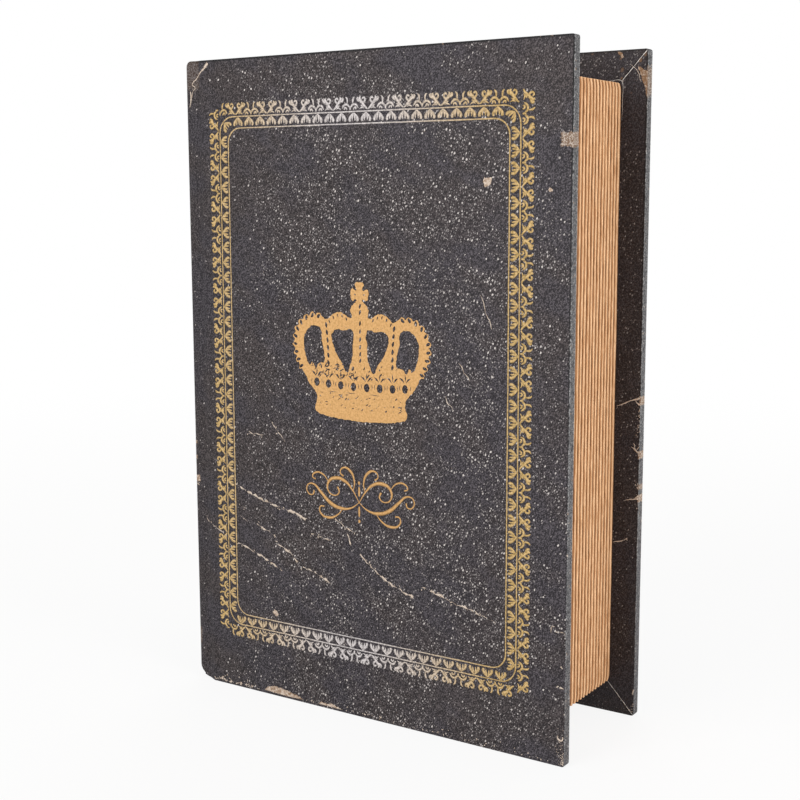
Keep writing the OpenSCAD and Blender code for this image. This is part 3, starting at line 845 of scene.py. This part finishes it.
# Border. A frame of two fine rules with a row of small domes between them and a band of leafy
# scrolls outside, a traditional bookbinder's pattern. It is printed flat on the leatherette in
# gold ink that fades to silver towards the middle of the head and tail runs.
PRINT_LEFT = -100.75
PRINT_RISE = 0.02
PEN_FLATNESS = 0.035
EDGE_WANDER = 0.12
WANDER_PER_MM = 0.9
WANDER_SEED = 5
WELD_MM = 0.0005
OUTER_RULE = {"low": (-78.75, 31.8), "high": (80.05, 273.8), "radius": 7.6}
INNER_RULE = {"low": (-73.85, 37.1), "high": (75.05, 268.6), "radius": 6.9}
RULE_HALF_WIDTH = 0.31
RULE_STEP = 4.0
INK_GOLD = linear("#d5b57f")
INK_GOLD_DEEP = linear("#a8894f")
INK_SILVER = linear("#d9d2d1")
INK_SILVER_DEEP = linear("#aaa4a3")
SILVER_MIDDLE_X = -5.0
SILVER_FULL, SILVER_NONE = 4.0, 84.0
INK_FLECK_MM = 0.9


def pen_curve(filled=False):
    """A flat drawing: pen strokes whose width may swell, or closed outlines that are filled."""
    curve = bpy.data.curves.new("drawing", "CURVE")
    curve.dimensions = "2D"
    curve.fill_mode = "NONE"
    curve.bevel_depth = 0.0 if filled else 1.0
    curve.bevel_resolution = 0
    curve.use_fill_caps = not filled
    return curve


def stroke(curve, points, half_widths=None, resolution=2, closed=False, straight=False):
    """Draws a smooth stroke through points, with its half width at each of them."""
    spline = curve.splines.new("BEZIER")
    spline.bezier_points.add(len(points) - 1)
    spline.use_cyclic_u = closed
    spline.resolution_u = resolution
    for knot, (x, z), half_width in zip(spline.bezier_points, points,
                                        half_widths or [1.0] * len(points)):
        knot.co = (x, z, 0)
        knot.radius = half_width
        knot.handle_left_type = knot.handle_right_type = "VECTOR" if straight else "AUTO"


def dot(curve, x, z, half_length, half_width, angle=0.0, resolution=2):
    """A round or oval spot, drawn as one short swelling stroke."""
    dx, dz = math.cos(angle) * half_length, math.sin(angle) * half_length
    stations = (-1.0, -0.72, 0.0, 0.72, 1.0)
    stroke(curve, [(x + dx * s, z + dz * s) for s in stations],
           [half_width * max(math.sqrt(1 - s * s), 0.08) for s in stations], resolution)


def add_drawing(bm, curve, face_y, lift, wander, over_joint):
    """Lays a drawing on an upright face that looks towards -Y, a hair proud of it."""
    drawn = add_object("drawn", curve)
    graph = bpy.context.evaluated_depsgraph_get()
    mesh = bpy.data.meshes.new_from_object(drawn.evaluated_get(graph))
    bpy.data.objects.remove(drawn)
    verts_before, edges_before = len(bm.verts), len(bm.edges)
    bm.from_mesh(mesh)
    bm.verts.ensure_lookup_table()
    bm.edges.ensure_lookup_table()
    for vert in bm.verts[verts_before:]:
        x, z, height = vert.co
        shift = noise.noise_vector(Vector((x, z, 3.7)) * WANDER_PER_MM) * wander
        y = face_y - lift - PEN_FLATNESS * height
        vert.co = (x + shift.x, y + (sunk(x) if over_joint else 0.0), z + shift.y)
    if curve.bevel_depth == 0.0:
        filled = bmesh.ops.triangle_fill(bm, use_beauty=True, edges=bm.edges[edges_before:])
        raised = bmesh.ops.extrude_face_region(bm, geom=only(BMFace, filled["geom"]),
                                               use_keep_orig=True)["geom"]
        bmesh.ops.translate(bm, verts=only(BMVert, raised), vec=(0, -PEN_FLATNESS, 0))


def draw_piece(name, drawings, face_y, rise, material, body, over_joint=False):
    """Makes one piece of drawings that are each given with how far their lines wander."""
    bm = bmesh.new()
    for curve, wander in drawings:
        add_drawing(bm, curve, face_y, rise, wander, over_joint)
    bmesh.ops.remove_doubles(bm, verts=bm.verts[:], dist=WELD_MM)
    bmesh.ops.recalc_face_normals(bm, faces=bm.faces[:])
    return make_piece(name, bm, material, body, smooth=False)


def rounded_rule(low, high, radius):
    """Points round a rectangle with rounded corners, close enough for the rule to waver."""
    centres = ((high[0] - radius, high[1] - radius), (low[0] + radius, high[1] - radius),
               (low[0] + radius, low[1] + radius), (high[0] - radius, low[1] + radius))
    arcs = []
    for quarter, (x, z) in enumerate(centres):
        angles = [math.radians(quarter * 90 + step * 15) for step in range(7)]
        arcs.append([(x + radius * math.cos(a), z + radius * math.sin(a)) for a in angles])
    points = []
    for arc, following in zip(arcs, arcs[1:] + arcs[:1]):
        (x0, z0), (x1, z1) = arc[-1], following[0]
        count = int(math.dist(arc[-1], following[0]) / RULE_STEP)
        points += arc + [(x0 + (x1 - x0) * step / count, z0 + (z1 - z0) * step / count)
                         for step in range(1, count)]
    return points


noise.seed_set(WANDER_SEED)
rules = pen_curve()
for rule in (OUTER_RULE, INNER_RULE):
    points = rounded_rule(**rule)
    widths = [RULE_HALF_WIDTH * (1 + 0.35 * noise.noise(Vector((x, z, 1)) * 0.31)) for x, z in points]
    stroke(rules, points, widths, 1, closed=True, straight=True)

SCROLL = [
    ([(0.1, 0.9), (1.0, 1.5), (2.1, 2.6), (3.0, 3.7), (3.9, 4.7), (4.3, 5.6), (3.7, 6.3)],
     [0.3, 0.46, 0.62, 0.72, 0.84, 0.66, 0.2]),
    ([(3.0, 3.2), (2.2, 3.7), (1.45, 4.5), (1.5, 5.4), (2.3, 5.8), (2.9, 5.2)],
     [0.54, 0.52, 0.48, 0.46, 0.46, 0.3]),
    ([(3.9, 4.4), (5.0, 4.7), (5.5, 5.5), (5.0, 6.1)], [0.58, 0.64, 0.48, 0.16]),
    ([(1.9, 2.2), (2.9, 2.2), (3.7, 2.7)], [0.48, 0.46, 0.14]),
    ([(1.8, 1.15), (2.7, 1.6), (3.6, 1.45), (4.3, 1.0)], [0.14, 0.34, 0.32, 0.12]),
]
FAN = [
    ([(1.5, 3.5), (1.45, 4.6), (1.7, 5.6), (2.4, 6.3)], [0.34, 0.46, 0.46, 0.16]),
    ([(0.5, 1.9), (1.3, 2.9), (2.6, 3.1), (3.7, 2.4), (4.3, 1.3)], [0.36, 0.52, 0.56, 0.48, 0.2]),
    ([(1.7, 0.8), (2.3, 1.7), (3.1, 1.5), (3.0, 0.8)], [0.32, 0.42, 0.4, 0.2]),
    ([(0.0, 0.7), (0.1, 1.6), (0.0, 2.5)], [0.28, 0.44, 0.16]),
]
DOME = [([(side * u, v) for u, v in points], widths)
        for points, widths in (([(0.0, -0.5), (0.9, -1.4), (1.75, -2.4), (2.15, -3.4), (1.9, -4.2)],
                                [0.3, 0.5, 0.66, 0.72, 0.5]),
                               ([(0.25, -1.2), (0.6, -2.2), (0.75, -3.2), (0.7, -3.9)],
                                [0.3, 0.46, 0.34, 0.14]))
        for side in (1, -1)]
sides = {
    "head": lambda u, v: (u, OUTER_RULE["high"][1] + v),
    "tail": lambda u, v: (u, OUTER_RULE["low"][1] - v),
    "spine": lambda u, v: (OUTER_RULE["low"][0] - v, u),
    "fore": lambda u, v: (OUTER_RULE["high"][0] + v, u),
}
border = pen_curve()


def draw_motif(side, centre, motif, direction=1):
    for points, widths in motif:
        stroke(border, [side(centre + direction * u, v) for u, v in points], widths)


def draw_band(side, first, pitch, count, ends):
    """A run of paired scrolls and fans, and the half motifs that close it at its two ends."""
    for i in range(count):
        for direction in (-1, 1):
            draw_motif(side, first + i * pitch, SCROLL, direction)
            if i < count - 1:
                draw_motif(side, first + (i + 0.5) * pitch, FAN, direction)
    for place_in_pitch, motif, direction in ends:
        draw_motif(side, first + place_in_pitch * pitch, motif, direction)


SHORT_PITCH, SPINE_PITCH, FORE_PITCH = 18.57, 19.1, 19.36
for side in ("head", "tail"):
    ends = [(-0.5, FAN, 1), (7.5, FAN, -1), (7.5, FAN, 1), (8, SCROLL, -1)]
    draw_band(sides[side], 31.5 + PRINT_LEFT, SHORT_PITCH, 8, ends)
draw_band(sides["spine"], 38.3, SPINE_PITCH, 13, [(12.5, FAN, -1), (-0.5, FAN, 1)])
draw_band(sides["fore"], 47.5, FORE_PITCH, 12,
          [(12, SCROLL, -1), (11.5, FAN, -1), (11.5, FAN, 1), (-0.5, FAN, -1), (-0.5, FAN, 1),
           (-1, SCROLL, 1)])

for side, first, pitch, count in (("head", 33.0 + PRINT_LEFT, 6.53, 22),
                                  ("tail", 29.2 + PRINT_LEFT, 6.56, 23),
                                  ("spine", 262.5, -6.95, 33), ("fore", 262.5, -6.95, 33)):
    for i in range(count):
        draw_motif(sides[side], first + pitch * i, DOME)


def corner_side(corner_x, corner_z, out_x, out_z):
    """Lays a motif on the diagonal of one of the border's corners."""
    reach = OUTER_RULE["radius"] * (1 - math.sqrt(0.5)) + 0.2

    def lay(u, v):
        x = corner_x - out_x * reach + (v * out_x + u * out_z) * math.sqrt(0.5)
        return x, corner_z - out_z * reach + (v * out_z - u * out_x) * math.sqrt(0.5)
    return lay


head_z = OUTER_RULE["high"][1]
draw_motif(corner_side(OUTER_RULE["low"][0], head_z, -1, 1), 0, DOME)
draw_motif(corner_side(OUTER_RULE["high"][0], head_z, 1, 1), 0, DOME)


def ink_material(name, gold, gold_deep, silver=None, flecks=0.5):
    """Screen-printed ink: matt, rubbed to a deeper tone on the grain, and missing in flecks where
    the charcoal ground shows."""
    material, add = new_material(name)
    place = millimetre_place(add)
    tone = add("TexNoise", {"Vector": place, "Scale": 1.0, "Detail": 3.0, "Roughness": 0.6})
    full = add("MapRange", (tone, 0.35, 0.62), **SMOOTH)
    colour = add("Mix", {0: full, 6: gold_deep, 7: gold}, **RGBA)
    if silver:
        across = add("SeparateXYZ", (place,), "X")
        centred = add("Math", (across, SILVER_MIDDLE_X), operation="SUBTRACT")
        off_middle = add("Math", (centred,), operation="ABSOLUTE")
        middle = add("MapRange", (off_middle, SILVER_NONE, SILVER_FULL), **SMOOTH)
        deeper = add("Mix", {0: full, 6: INK_SILVER_DEEP, 7: silver}, **RGBA)
        colour = add("Mix", {0: middle, 6: colour, 7: deeper}, **RGBA)
    holes = add("TexNoise", {"Vector": place, "Scale": 1 / INK_FLECK_MM, "Roughness": 0.6})
    gaps = add("MapRange", (holes, 0.64, 0.7, 0, flecks), **SMOOTH)
    colour = add("Mix", {0: gaps, 6: colour, 7: HIGH_BROWN}, **RGBA)
    finish_surface(add, colour, tone, 0.4, GRAIN_HEIGHT_MM, (tone, 0.3, 0.7, 0.7, 0.55),
                   {"Specular IOR Level": 0.25})
    return material


border_ink = ink_material("screen_printed_gold_and_silver_ink", INK_GOLD, INK_GOLD_DEEP, INK_SILVER)
draw_piece("border_print", [(rules, EDGE_WANDER), (border, EDGE_WANDER)], cover_low.y, PRINT_RISE,
           border_ink, "lid")


# Crown and flourish. A common heraldic crown with beaded arches and, under it, a calligraphic
# flourish, printed in one tan-gold ink. Beads, jewels and flecks are left open to the leatherette.
CROWN_FOOT = [
    (0, 138.0), (8, 138.2), (15, 138.7), (21, 139.6), (24.6, 141.0), (25.0, 143.4), (24.0, 146.0),
    (24.3, 149.0), (26.4, 151.6), (28.8, 154.2), (30.4, 156.8)]
CROWN_TOP = [
    (19.2, 183.3), (17.6, 183.2), (15.4, 184.9), (12.2, 186.4), (8.8, 186.0), (5.9, 184.3),
    (4.4, 184.6), (4.9, 187.0), (4.2, 189.4), (2.2, 191.2), (1.5, 192.4), (4.0, 191.9),
    (4.8, 194.4), (4.2, 197.2), (1.7, 196.4), (2.3, 199.4), (0, 200.2)]
INNER_OPENING = [(4.3, 178.9), (8.5, 178.4), (13.2, 178.6), (15.4, 176.2), (14.6, 171.5),
                 (12.2, 167.0), (9.4, 163.4), (7.0, 159.9), (5.6, 162.8), (4.3, 166.0), (3.9, 172.0)]
OUTER_OPENING = [(21.6, 178.6), (24.6, 180.0), (28.0, 178.9), (30.6, 175.6), (31.3, 171.2),
                 (30.2, 166.2), (27.8, 162.0), (26.2, 163.2), (24.6, 160.8), (22.6, 163.0),
                 (20.0, 163.4), (19.6, 167.6), (21.0, 173.2)]
ARCH_CENTRE = (25.6, 174.0)
ARCH_BEADS = [(32.7, 161.0), (34.3, 164.0), (35.5, 167.4), (36.0, 171.0), (35.8, 174.6),
              (34.7, 178.0), (32.6, 181.0), (29.6, 183.2), (26.2, 184.4), (22.7, 184.2)]
BEAD_HALF = 1.5
INK_TAN = linear("#d3a56c")
INK_TAN_DEEP = linear("#bd9059")


def beaded_edge(beads):
    """A scalloped outline round a row of beads, each a small crest with a notch before the next."""
    points = []
    for i, (x, z) in enumerate(beads):
        out = Vector((x - ARCH_CENTRE[0], z - ARCH_CENTRE[1])).normalized()
        along = Vector((-out.y, out.x))
        for forward, outward in ((-0.62, 0.7), (0.0, 1.05), (0.62, 0.7)):
            points.append(tuple(Vector((x, z)) + (along * forward + out * outward) * BEAD_HALF))
        if i < len(beads) - 1:
            middle = (Vector((x, z)) + Vector(beads[i + 1])) / 2
            points.append(tuple(middle + out * 0.35 * BEAD_HALF))
    return points


crown_body = pen_curve(filled=True)
half = CROWN_FOOT + beaded_edge(ARCH_BEADS) + CROWN_TOP
stroke(crown_body, half + [(-x, z) for x, z in reversed(half[1:-1])], None, 7, closed=True)
for opening in (INNER_OPENING, OUTER_OPENING):
    stroke(crown_body, opening, None, 8, closed=True)
    stroke(crown_body, [(-x, z) for x, z in opening], None, 8, closed=True)

openings = pen_curve()
for side in (-1, 1):
    for x, z in ARCH_BEADS:
        lean = math.atan2(z - ARCH_CENTRE[1], side * (x - ARCH_CENTRE[0]))
        dot(openings, side * x, z, 1.3, 0.86, lean + side * 0.5)
    for x, z in ((16.6, 182.0), (14.4, 184.0), (12.0, 185.0), (9.6, 184.8), (7.2, 183.6)):
        dot(openings, side * x, z, 0.95, 0.48, side * 1.2)
    for i in range(6):
        share = i / 5
        dot(openings, side * (18.4 - 2.2 * share + 1.2 * share**2), 180.4 - 17 * share, 1.35, 0.78,
            math.pi / 2 - side * 0.2)
    for i in range(3):
        dot(openings, side * (7.4 + 2.3 * i), 179.9 + 0.2 * i, 0.55, 0.22, side * 0.6, 1)
for z in (189.6, 186.8, 182.0, 178.4, 174.8, 171.4, 168.2, 165.4):
    dot(openings, 0.2, z, 1.2, 0.68, math.pi / 2 - 0.2)
for side in (-1, 1):
    dot(openings, side * 2.4, 194.6, 0.75, 0.4, 0.4 * side)
    for x in (3.6, 10.6, 17.4, 24.0):
        z = 153.4 + x * x * 0.0016
        dot(openings, side * x, z, 2.0, 1.75, math.pi / 2)
        for lean in (-1, 1):
            stroke(openings, [(side * x + lean * 0.5, z + 2.7), (side * x + lean * 1.7, z + 4.2),
                              (side * x + lean * 2.9, z + 4.8)], [0.2, 0.58, 0.2])
            stroke(openings, [(side * x + lean * 2.5, z - 1.2), (side * x + lean * 2.9, z + 0.4),
                              (side * x + lean * 2.5, z + 2.0)], [0.12, 0.34, 0.12])
        stroke(openings, [(side * x, z + 3.4), (side * x + 0.1, z + 5.0), (side * x, z + 6.8)],
               [0.18, 0.46, 0.12])
fleck_draw = random.Random(11)
for i in range(64):
    x = fleck_draw.uniform(-22.5, 22.5)
    z = fleck_draw.choice((143.4, 145.2, 147.4, 148.9)) + x * x * 0.0022 + fleck_draw.gauss(0, 0.35)
    dot(openings, x, z, fleck_draw.uniform(0.4, 1.1), fleck_draw.uniform(0.2, 0.48),
        fleck_draw.uniform(0.0, 0.9), 1)
for i in range(60):
    x = fleck_draw.triangular(-29, 27, -20)
    dot(openings, x, fleck_draw.uniform(156.8, 163.5), fleck_draw.uniform(0.5, 1.5),
        fleck_draw.uniform(0.25, 0.55), fleck_draw.gauss(0.8, 0.35), 1)
for start_x in (-19, -9, 4):
    stroke(openings, [(start_x, 150.6), (start_x + 4, 150.4), (start_x + 8, 150.5)], [0.1, 0.3, 0.1], 3)

FLOURISH_CENTRE = (-1.0, 102.5)
FLOURISH = [
    ([(0, -1.6), (4.5, -4.6), (10.5, -5.4), (16.5, -3.4), (21.5, 0.8), (26, 4.2), (29.2, 3.2),
      (29.0, -0.2), (26.2, -0.8), (25.4, 1.2)],
     [0.16, 0.38, 0.82, 0.95, 0.7, 0.42, 0.3, 0.34, 0.3, 0.46]),
    ([(0, -1.6), (3.2, 3.2), (7.4, 7.2), (12.8, 8.4), (17.0, 6.2), (17.4, 2.2), (14.2, 0.2),
      (11.2, 1.8), (12.0, 4.4)],
     [0.16, 0.32, 0.72, 0.9, 0.66, 0.4, 0.3, 0.34, 0.5]),
    ([(9.0, -5.4), (12.6, -9.0), (17.4, -10.6), (21.8, -9.0), (22.0, -6.0), (19.6, -5.6)],
     [0.16, 0.42, 0.66, 0.46, 0.3, 0.44]),
    ([(3.2, 3.2), (2.6, 8.0), (4.8, 12.4), (8.6, 13.6), (10.4, 11.2), (8.6, 9.6)],
     [0.14, 0.42, 0.66, 0.44, 0.28, 0.42]),
    ([(17.0, 6.2), (20.4, 9.4), (24.6, 9.6), (26.2, 7.6), (24.4, 6.6)],
     [0.14, 0.4, 0.46, 0.3, 0.36]),
]
FLOURISH_DROPS = ((3.4, 2.4, 0.62), (7.4, 0.8, 0.7), (-5.8, 2.6, 0.6), (-10.2, 0.8, 0.7))
flourish = pen_curve()
for side in (-1, 1):
    for points, widths in FLOURISH:
        stroke(flourish, [(FLOURISH_CENTRE[0] + side * x, FLOURISH_CENTRE[1] + z) for x, z in points],
               widths, 6)
for z, half_length, half_width in FLOURISH_DROPS:
    dot(flourish, FLOURISH_CENTRE[0], FLOURISH_CENTRE[1] + z, half_length, half_width, math.pi / 2, 4)

crown_ink = ink_material("screen_printed_tan_gold_ink", INK_TAN, INK_TAN_DEEP, flecks=0.25)
draw_piece("crown_and_flourish_print", [(crown_body, 0.5), (flourish, 0.08)], cover_low.y, PRINT_RISE,
           crown_ink, "lid")
draw_piece("crown_openings", [(openings, 0.22)], cover_low.y, PRINT_RISE + 0.03, leatherette, "lid")


# Wear. Cracks run across the lower half of the cover, and the skin has chipped off along the
# edges, which bares the cream paper backing of the leatherette. Each chip is a thin scab of it.
CRACK_STEP, TEAR_STEP = 1.5, 0.6
BACKING_FIBRE_MM = 1.3
NEAR_TAIL_Z, NEAR_FORE_X, NEAR_HEAD_Z = 1.55, 103.4, 299.2
CRACKS = [
    ([(27, 101), (42, 96), (53, 93), (63, 91.5), (69, 89)], 0.42),
    ([(30, 91), (33, 90)], 0.3), ([(30, 86), (34, 84)], 0.3), ([(40, 83), (51, 79)], 0.34),
    ([(52, 75.5), (60, 72), (64, 68)], 0.55), ([(67, 66), (74, 65), (83, 61)], 0.6),
    ([(28, 72.5), (40, 69), (48, 65.5), (55, 62.5)], 0.4), ([(72.5, 83), (76, 83)], 0.4),
    ([(77, 82), (84, 81.5)], 0.3), ([(86, 92), (91, 89), (99, 86)], 0.32),
    ([(93, 86), (95, 81)], 0.3), ([(100, 77), (106, 72), (111, 69)], 0.3),
    ([(111, 69), (118, 65), (129, 61.5)], 0.42),
    ([(133, 67), (139, 66), (148, 62.7), (160.5, 60.3), (171, 57.2)], 0.4),
    ([(197.2, 57.6), (198.2, 60.8)], 0.3), ([(199.5, 58.6), (203.0, 58.3)], 0.3),
    ([(7.5, 81.6), (14, 78.5), (20.6, 75)], 0.26), ([(2.4, 100.5), (3.2, 98.0)], 0.2),
    ([(34.2, 126.7), (44.5, 126.7)], 0.16), ([(49.5, 133.8), (53.5, 129), (57.7, 125.1)], 0.16)]
CORNER_TEARS = [
    ([(-85.4, 298.7), (-86.6, 297.4), (-88.1, 296.0), (-90.7, 294.2), (-93.0, 292.0),
      (-95.0, 290.3), (-95.6, 289.2), (-94.1, 288.0), (-95.3, 286.2)],
     [0.8, 0.75, 0.5, 0.34, 0.28, 0.22, 0.26, 0.22, 0.1]),
    ([(-96.9, 286.2), (-96.5, 284.6), (-96.6, 282.4), (-97.3, 279.0)], [0.14, 0.4, 0.42, 0.14]),
    ([(-95.6, 286.0), (-95.9, 283.4)], [0.14, 0.22]),
    ([(99.6, 34.4), (100.5, 35.2)], [0.3, 0.2]), ([(101.0, 34.6), (102.8, 34.3)], [0.45, 0.25]),
    ([(101.4, 43.8), (102.3, 43.0)], [0.4, 0.2]),
    ([(100.3, 13.4), (100.8, 11.9), (102.2, 11.6), (102.9, 13.2)], [0.25, 0.5, 0.45, 0.3]),
    ([(61.8, 196.9), (63.4, 193.2), (64.2, 189.6), (66.3, 185.9), (67.3, 182.6)],
     [0.06, 0.22, 0.1, 0.24, 0.08]),
    ([(51.2, 167.7), (52.9, 165.9), (53.7, 163.8), (55.6, 162.2), (56.7, 160.2)],
     [0.06, 0.22, 0.08, 0.18, 0.06]),
    ([(44.8, 153.0), (45.9, 149.8), (47.5, 148.9), (48.5, 146.9)], [0.1, 0.28, 0.12, 0.08])]
FRONT_PATCHES = [
    [(-58, 1.5), (-56, 3.2), (-53, 4.4), (-49.5, 4.5), (-47, 4.3), (-44, 3.8), (-41, 3.3),
     (-37.5, 2.3), (-34, 1.3), (-44, 1.05)],
    [(-25.5, 1.3), (-23.4, 2.7), (-20.5, 2.1), (-17.5, 2.8), (-14.5, 2.0), (-11.0, 1.15)],
    [(-52.2, 41.4), (-50.6, 43.0), (-49.2, 41.9), (-48.6, 40.4), (-50.0, 39.4), (-51.3, 40.3)],
    [(63.4, 241.5), (62.6, 243.7), (63.4, 245.2), (65.0, 244.6), (66.8, 245.0), (66.4, 242.8),
     (65.2, 241.2)],
    [(92.9, 240.2), (93.6, 240.8), (94.8, 240.3), (94.7, 239.1), (93.2, 239.2)]]
BACK_PATCHES = [
    [(98.8, 293.2), (101.0, 291.8), (103.5, 290.6), (103.5, 280.0), (102.9, 281.4),
     (102.4, 284.3), (101.0, 287.0), (99.9, 289.8)],
    [(88.9, 299.3), (90.7, 299.3), (92.4, 297.0), (91.2, 296.4), (90.0, 297.9)]]
wear_draw = random.Random(5)


def chip(curve, x, z, half_lengths, half_widths):
    """A small chip of random size and lean."""
    dot(curve, x, z, wear_draw.uniform(*half_lengths), wear_draw.uniform(*half_widths),
        wear_draw.uniform(0, 3), 1)


cracks = pen_curve()
for points, half_width in CRACKS:
    points = [(x + PRINT_LEFT, z) for x, z in points]
    for (x0, z0), (x1, z1) in zip(points, points[1:]):
        count = max(2, round(math.dist((x0, z0), (x1, z1)) / CRACK_STEP))
        trail = []
        for i in range(count + 1):
            share = i / count
            trail.append((x0 + (x1 - x0) * share + wear_draw.uniform(-0.3, 0.3),
                          z0 + (z1 - z0) * share + wear_draw.uniform(-0.4, 0.4)))
        widths = [half_width * max(wear_draw.uniform(-0.7, 1.8), 0.05) for _ in trail]
        stroke(cracks, trail, widths, 2)
        for x, z in trail[::2]:
            if wear_draw.random() < 0.7:
                chip(cracks, x + wear_draw.uniform(-1.2, 1.2), z + wear_draw.uniform(-1.2, 1.2),
                     (0.2, 0.6), (0.15, 0.32))
for points, widths in CORNER_TEARS:
    stroke(cracks, points, widths, 5)
for _ in range(60):
    chip(cracks, 103.2 - wear_draw.expovariate(0.8), 0.9 + 1.2 * wear_draw.expovariate(0.35),
         (0.12, 0.36), (0.1, 0.2))
for count, x_low, x_high, largest in ((90, -90, 101, 0.32), (34, -92, -64, 0.55)):
    for _ in range(count):
        chip(cracks, wear_draw.uniform(x_low, x_high), 1.1 + wear_draw.expovariate(1.3),
             (0.15, 1.6 * largest), (0.1, largest))


def torn_patches(outlines):
    """Filled outlines with ragged sides, except where they run along a cover's edge."""
    curve = pen_curve(filled=True)
    for outline in outlines:
        ragged = []
        for (x0, z0), (x1, z1) in zip(outline, outline[1:] + outline[:1]):
            count = max(1, round(math.dist((x0, z0), (x1, z1)) / TEAR_STEP))
            at_edge = (max(z0, z1) < NEAR_TAIL_Z or min(x0, x1) > NEAR_FORE_X
                       or min(z0, z1) > NEAR_HEAD_Z)
            for i in range(count):
                sway = 0.0 if at_edge else wear_draw.uniform(-0.35, 0.35)
                ragged.append((x0 + (x1 - x0) * i / count + 0.5 * sway,
                               z0 + (z1 - z0) * i / count + sway))
        stroke(curve, ragged, None, 1, closed=True, straight=True)
    return curve


def backing_material(name, soiled, attribute=None):
    """Torn paper backing: cream, browned the more it has been handled, fuzzy with fibres."""
    material, add = new_material(name)
    place = millimetre_place(add, attribute)
    fibre = add("TexNoise", {"Vector": place, "Scale": 1 / BACKING_FIBRE_MM, "Detail": 4.0,
                             "Roughness": 0.7})
    clean = add("MapRange", (fibre, soiled, soiled + 0.34), **SMOOTH)
    colour = add("Mix", {0: clean, 6: BACKING_BROWN, 7: BACKING_CREAM}, **RGBA)
    finish_surface(add, colour, fibre, 0.5, 0.05, (fibre, 0.3, 0.7, 0.95, 0.8),
                   {"Specular IOR Level": 0.15})
    return material


backing = backing_material("soiled_paper_backing_of_leatherette", 0.44)
bared_backing = backing_material("bared_paper_backing_at_tail_edge", 0.33)
fresh_backing = backing_material("freshly_split_paper_backing", 0.22, "rest_place")
hinge(draw_piece("front_cracks", [(cracks, 0.2)], cover_low.y, PRINT_RISE + 0.03, fresh_backing, None,
                 over_joint=True))
draw_piece("front_patches", [(torn_patches(FRONT_PATCHES), 0.15)], cover_low.y, PRINT_RISE + 0.02,
           bared_backing, "lid")

BACK_CRACKS = [
    ([(92.4, 143.8), (95.2, 144.9), (98.2, 146.4), (100.4, 147.2), (103.2, 148.0)],
     [0.12, 0.24, 0.2, 0.3, 0.5]),
    ([(101.2, 146.9), (102.2, 145.7), (103.4, 144.9)], [0.1, 0.22, 0.3]),
    ([(99.6, 125.9), (101.5, 124.6), (103.4, 123.1)], [0.14, 0.3, 0.38]),
    ([(100.6, 127.5), (101.2, 126.6), (101.5, 124.8)], [0.1, 0.22, 0.14]),
    ([(102.3, 124.6), (103.2, 126.0)], [0.14, 0.22]),
    ([(96.6, 100.6), (98.6, 101.4), (100.5, 101.7), (103.4, 102.4)], [0.08, 0.14, 0.2, 0.46]),
    ([(101.9, 102.4), (103.3, 103.6)], [0.12, 0.3]),
    ([(91.8, 80.9), (94.5, 81.5), (97.0, 82.4), (98.6, 83.6)], [0.14, 0.24, 0.12, 0.22]),
    ([(98.2, 83.2), (98.8, 82.4)], [0.12, 0.2]),
    ([(103.4, 12.6), (102.8, 10.2)], [0.3, 0.26]),
    ([(95.5, 293.5), (98.5, 291.0), (100.5, 286.0)], [0.06, 0.14, 0.06])]
back_cracks = pen_curve()
for points, widths in BACK_CRACKS:
    stroke(back_cracks, points, widths, 5)
for z_low, z_high, count in ((130.5, 144.0, 22), (97.5, 110.0, 12), (2.0, 6.0, 8)):
    for _ in range(count):
        chip(back_cracks, 103.4 - 0.5 * wear_draw.expovariate(1.0), wear_draw.uniform(z_low, z_high),
             (0.12, 0.4), (0.1, 0.22))
split_backing = backing_material("split_paper_backing_of_back_cover", 0.12)
draw_piece("back_cracks", [(back_cracks, 0.25)], back_low.y, PRINT_RISE, split_backing, "root")
draw_piece("back_patches", [(torn_patches(BACK_PATCHES), 0.2)], back_low.y, PRINT_RISE, backing, "root")

MITRE_STEPS = 12
cut_edges = pen_curve()
mitre_x = back_high.x + FORE_EDGE_STAND_OFF - 0.5
for z_corner, way, run in ((back_high.z, 1, 11.6), (back_low.z, -1, 12.7)):
    points = []
    widths = []
    for i in range(MITRE_STEPS + 1):
        along = run * i / MITRE_STEPS
        points.append((mitre_x - along, z_corner - way * (0.6 + MITRE_STEEPNESS * run * i / MITRE_STEPS)))
        widths.append(0.1 + 0.05 * ((i * 5) % 3))
    stroke(cut_edges, points, widths, 2)
stroke(cut_edges, [(85.0, 286.8), (87.0, 287.1), (89.6, 287.4), (91.5, 286.7), (92.1, 284.2),
                   (91.9, 280.0), (92.0, 276.0), (91.8, 270.0)],
       [0.04, 0.1, 0.08, 0.13, 0.08, 0.1, 0.06, 0.03], 5)
draw_piece("cut_paper_edges", [(cut_edges, 0.1)], back_low.y, PRINT_RISE + 0.03, paper_core, "root")
